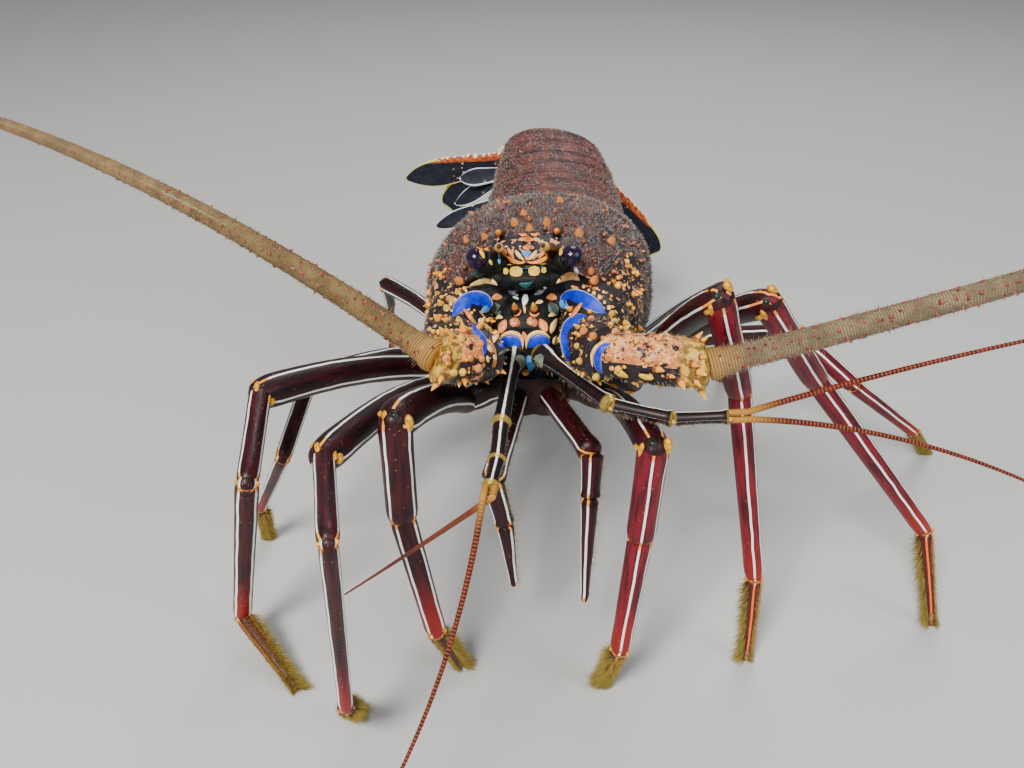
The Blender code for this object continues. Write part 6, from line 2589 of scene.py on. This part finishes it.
@dataclass
class HeadMarks:
    """Coloured lobes and spines laid on the head where the photo shows them."""

    shapes: SmallShapes
    head: HeadSurface

    def hit(self, tree: BVHTree, x: float, y: float) -> tuple[Array, Array]:
        """Point and normal of the head under a pixel of the photo.

        Args:
            tree: Search tree over the head.
            x: Pixel from the left.
            y: Pixel from the top.

        Returns:
            The point and the normal.
        """
        ray = photo_ray(x, y)
        found, normal, _, _ = tree.ray_cast(Vector(CAMERA_PLACE), Vector(ray))
        normal = np.array(normal)
        return np.array(found), normal if normal @ ray < 0 else -normal

    def lobe(self, tree: BVHTree, look: Look, dome: float, line: Array) -> Draft:
        """Domed lobe that follows the head under a line and lifts off it towards the camera.

        Args:
            tree: Search tree over the head.
            look: The lobe's colour.
            dome: How far its middle lifts off, in millimetres.
            line: Places of its middle line in the photo, as x, y and half width.

        Returns:
            The lobe.
        """
        share = np.linspace(0, 1, 26)
        points = smooth_rows([(k / (len(line) - 1), *row) for k, row in enumerate(line)], share)
        blunt = np.sqrt(np.clip(np.minimum(share, 1 - share) / 0.12, 0.06, 1))
        wide = np.maximum(points[:, 2], 0.3) * blunt
        way = unit(np.gradient(points[:, :2], axis=0))
        aside = np.stack([-way[:, 1], way[:, 0]], -1)
        across = np.sin(np.linspace(-1, 1, 11) * math.pi / 2)
        pixels = points[:, None, :2] + aside[:, None] * (wide[:, None] * across)[..., None]
        rays = np.array([[photo_ray(x, y) for x, y in row] for row in pixels])
        hits = [[tree.ray_cast(Vector(CAMERA_PLACE), Vector(ray))[3] for ray in row] for row in rays]
        depth = np.array([[math.nan if far is None else far for far in row] for row in hits])
        middle = np.nanmedian(depth, axis=1)
        middle = np.where(np.isnan(middle), np.nanmedian(depth), middle)[:, None]
        depth = np.clip(np.where(np.isnan(depth), middle, depth), middle - 2.5, middle + 2.5)
        for _ in range(3):
            padded = np.pad(depth, 1, mode="edge")
            beside = (padded[:-2, 1:-1] + padded[2:, 1:-1] + padded[1:-1, :-2] + padded[1:-1, 2:]) / 4
            depth = np.minimum(depth, (depth + beside) / 2)
        arch = np.sqrt(np.clip(1 - across ** 2, 0, 1)) * blunt[:, None]
        layer = 0.28 + 0.05 * list(Look).index(look)
        top = CAMERA_PLACE + rays * (depth - layer - dome * arch)[..., None]
        under = CAMERA_PLACE + rays * (depth + 0.5)[..., None]
        centres = top[:, 5]
        self.head.cover(centres, wide * depth[:, 5] / PHOTO_FOCAL)
        rings = np.concatenate([top, under[:, ::-1]], axis=1)
        span = layers(share[:, None], np.concatenate([across, across[::-1]])[None], 0.0)
        return skin(rings, {"local": rings, "span": span})

    def build(self) -> None:
        """Lays every mark and every spine."""
        tree = self.head.tree()
        for look in Look:
            lobes = [self.lobe(tree, look, dome, np.array(line)) for dome, *line in MARKS[look]]
            piece("head_marks_" + look.name.lower(), merge(lobes), [MarkFinish(look)])
        spines = []
        for x, y, length, radius, finish in BARBS:
            root, normal = self.hit(tree, x, y)
            aim = normal * 0.5 - BODY_BACK * 0.75 + BODY_UP * 0.3
            spines.append(scatter(self.shapes.spine, root[None], aim[None], radius, length).painted(finish))
            self.head.cover(root[None], radius)
        warm = SpineFinish("head spine", (0.12, 0.03, 0.012), (0.86, 0.30, 0.07), (0.66, 0.16, 0.015), 0.3,
                           0.2)
        pale = SpineFinish("head pale spine", (0.14, 0.05, 0.012), (0.92, 0.54, 0.08), (0.80, 0.34, 0.02),
                           0.3, 0.2)
        piece("head_spines", merge(spines), [warm, pale])


@dataclass
class Studio:
    """Pale floor, soft lights and the photo's camera."""

    floor_size: float = 12.0

    def floor(self) -> None:
        """Large plain floor."""
        bpy.ops.object.select_all(action="DESELECT")
        bpy.ops.mesh.primitive_plane_add(size=self.floor_size, location=(0, 0, 0))
        thing = bpy.context.object
        thing.name = "studio_floor"
        sketch = Sketch("studio floor", 0.6)
        where = sketch.add("ShaderNodeTexCoord", {}, "Object")
        colour = sketch.mix(where.noise(0.8), (0.52, 0.515, 0.5), (0.56, 0.555, 0.54))
        thing.data.materials.append(sketch.done(colour))

    def light(self, name: str, place_at: tuple, aim_at: tuple, size: float, power: float,
              colour: Colour) -> None:
        """One soft area light.

        Args:
            name: Its name.
            place_at: Where it stands, in metres.
            aim_at: Where it shines, in metres.
            size: Its width in metres.
            power: Its power in watts.
            colour: Its colour.
        """
        lamp = bpy.data.lights.new(name, "AREA")
        lamp.shape = "DISK"
        lamp.size = size
        lamp.energy = power
        lamp.color = colour
        thing = bpy.data.objects.new(name, lamp)
        thing.location = place_at
        thing.rotation_euler = (Vector(aim_at) - Vector(place_at)).to_track_quat("-Z", "Y").to_euler()
        bpy.context.scene.collection.objects.link(thing)

    def camera(self) -> None:
        """Camera at the photo's place and angle."""
        lens = bpy.data.cameras.new("photo_camera")
        lens.sensor_width = SENSOR_WIDTH
        lens.lens = SENSOR_WIDTH * PHOTO_FOCAL / PHOTO_SIZE[0]
        lens.clip_start = 0.01
        thing = bpy.data.objects.new("photo_camera", lens)
        thing.location = (CAMERA_PLACE + SHIFT) * MM
        thing.rotation_euler = Vector(camera_axes()[0]).to_track_quat("-Z", "Y").to_euler()
        bpy.context.scene.collection.objects.link(thing)
        bpy.context.scene.camera = thing

    def build(self) -> None:
        """Makes the floor, the lights and the camera."""
        self.floor()
        self.light("key_light", (-0.35, -1.05, 1.15), (0.0, 0.0, 0.08), 0.45, 34.0, (1.0, 0.97, 0.93))
        self.light("fill_light", (1.2, -0.7, 0.9), (0.0, 0.0, 0.08), 0.9, 9.0, (0.92, 0.96, 1.0))
        self.light("top_light", (0.1, 0.9, 1.5), (0.0, 0.1, 0.05), 0.8, 12.0, (1.0, 1.0, 1.0))
        world = bpy.context.scene.world or bpy.data.worlds.new("studio_world")
        bpy.context.scene.world = world
        world.use_nodes = True
        world.node_tree.nodes["Background"].inputs["Color"].default_value = (0.86, 0.90, 0.95, 1.0)
        world.node_tree.nodes["Background"].inputs["Strength"].default_value = 0.32
        self.camera()


LEG_LENGTHS = {
    1: (75.0, 39.0, 52.0, 30.0), 2: (102.0, 44.0, 78.0, 38.0), 3: (103.0, 46.0, 83.0, 42.0),
    4: (87.0, 38.0, 62.0, 31.0), 5: (66.0, 32.0, 50.0, 27.0),
}
# Each side's stripes, as share across the visible face and half width, how red its shins are and the
# colour of the stripes on its last segments
LEG_STRIPES = {
    Side.LEFT: (((0.10, 0.42), (0.90, 0.2)), 0.85, (0.95, 0.13, 0.025)),
    Side.RIGHT: (((-0.76, 0.34), (0.80, 0.30)), 0.1, (0.34, 0.085, 0.015)),
}
# Factors across and along the view on each side's merus, carpus and propodus
LEG_SLIMNESS = {
    Side.LEFT: ((1.0, 1.0), (1.04, 0.97), (1.10, 0.95)),
    Side.RIGHT: ((1.12, 1.0), (0.84, 0.9), (0.86, 0.85)),
}
# Further factors across the view on the merus, carpus and propodus of three legs
LEG_WIDTHS = {(Side.RIGHT, 1): (1.12, 1.36, 1.34), (Side.RIGHT, 2): (1.02, 0.90, 0.90),
              (Side.RIGHT, 3): (1.12, 1.04, 1.30)}
LEG_GIRTH = {1: 1.05, 2: 1.0, 3: 1.0, 4: 0.85, 5: 0.75}
LEG_HIPS = {
    1: (31.0, -50.0, -3.0), 2: (41.0, -26.0, -3.0), 3: (46.5, -3.0, -3.0), 4: (48.0, 20.0, -2.0),
    5: (46.0, 42.0, -2.0),
}
# Each leg's pose: size factor, then yaw and rise of merus, carpus and propodus, then dactyl yaw
LEG_POSES = {
    (Side.LEFT, 1): (1.02, (-77, 18), (-155, -87), (-134, -83), 123),
    (Side.LEFT, 2): (1.1, (-72, 44), (48, -66), (-20, -79), -67),
    (Side.LEFT, 3): (1.16, (-66, 39), (38, -51), (8, -52), -35),
    (Side.LEFT, 4): (1.0, (24, -3), (-31, -30), (27, -39), 42),
    (Side.LEFT, 5): (1.0, (46, 9), (82, -45), (72, -65), 75),
    (Side.RIGHT, 1): (1.09, (-100, 25), (-65, -88), (-6, -79), 55),
    (Side.RIGHT, 2): (1.15, (-103, 16), (-72, 3), (-66, -100), 104),
    (Side.RIGHT, 3): (1.0, (-130, 15), (-79, -16), (147, -75), -38),
    (Side.RIGHT, 4): (1.0, (-129, 12), (-96, -30), (134, -53), 113),
    (Side.RIGHT, 5): (1.0, (142, 11), (100, -45), (110, -65), 110),
}
FEELERS = {Side.LEFT: (((34.0, -109.0, 131.0), (56.0, -113.0, 129.5), (75.0, -114.0, 132.5)),
                       {"outer": ((2.0, -2.0), (23.0, 17.0), 140.0),
                        "inner": ((7.0, -10.0), (-2.0, -28.0), 140.0)}),
           Side.RIGHT: (((-5.0, -114.0, 123.0), (-4.0, -134.0, 121.0), (-4.0, -150.0, 122.0)),
                        {"outer": ((150.0, 149.0), (-48.0, -47.0), 115.0),
                         "inner": ((-107.0, -122.0), (-69.0, -25.0), 135.0)})}
MOUTH_LIMBS = {
    Side.LEFT: ((28.0, -102.0, 105.0), (28.0, -108.0, 89.0), (28.0, -114.0, 42.0)),
    Side.RIGHT: ((-10.0, -102.0, 89.0), (-5.0, -104.0, 70.0), (-1.0, -106.0, 40.0)),
}


def leg_looks(side: Side) -> list[Finish]:
    """Finishes of the limbs on one side, in the order of their numbers.

    Args:
        side: The side.

    Returns:
        The finishes.
    """
    stripes, redness, ember = LEG_STRIPES[side]
    return [
        LegFinish("leg shell " + side.value, stripes, redness, ember),
        PlainShell("joint skin", (0.22, 0.05, 0.010), (0.60, 0.26, 0.035), 1.6, 0.45, 0.05),
        PlainShell("joint button", (0.46, 0.16, 0.008), (0.88, 0.48, 0.03), 1.6),
        PlainShell("joint socket", (0.006, 0.008, 0.008), (0.022, 0.028, 0.020), 1.6),
        PlainShell("claw", (0.20, 0.05, 0.02), (0.42, 0.20, 0.08), 2.0, 0.3, 0.4),
        HairFinish("brush", (0.20, 0.14, 0.02), (0.46, 0.34, 0.05), (0.05, 0.02, 0.008)),
    ]


def main() -> None:
    """Builds the animal part by part, then the studio."""
    shapes = small_shapes()
    head = HeadSurface()
    right_joints = ((-27.0, -84.0, 138.0), (-14.0, -106.0, 146.0), (-26.0, -121.0, 153.0))
    head_parts = [
        Carapace(shapes, head), Face(shapes, head), Antenna(shapes, head, Side.LEFT),
        Antenna(shapes, head, Side.RIGHT, joints=right_joints, yaws=(150.0, 157.0), rises=(16.0, -5.0),
                tan=(0.30, 0.20, 0.07)),
    ]
    HeadMarks(shapes, head).build()
    for part in head_parts:
        part.build()
    Underside().build()
    for side, (joints, whips) in FEELERS.items():
        Antennule(shapes, side, joints, whips).build()
    looks = {side: leg_looks(side) for side in Side}
    for side, joints in MOUTH_LIMBS.items():
        Maxilliped(shapes, looks[side], side, joints).build()
    parts = limb_parts()
    for (side, pair), pose in LEG_POSES.items():
        Leg(shapes, parts, looks[side], side, pair, LEG_LENGTHS[pair], LEG_GIRTH[pair], LEG_HIPS[pair],
            pose).build()
    tail = Abdomen(shapes).build()
    TailFan(shapes, tail).build()
    Studio().build()


if __name__ == "__main__":
    main()
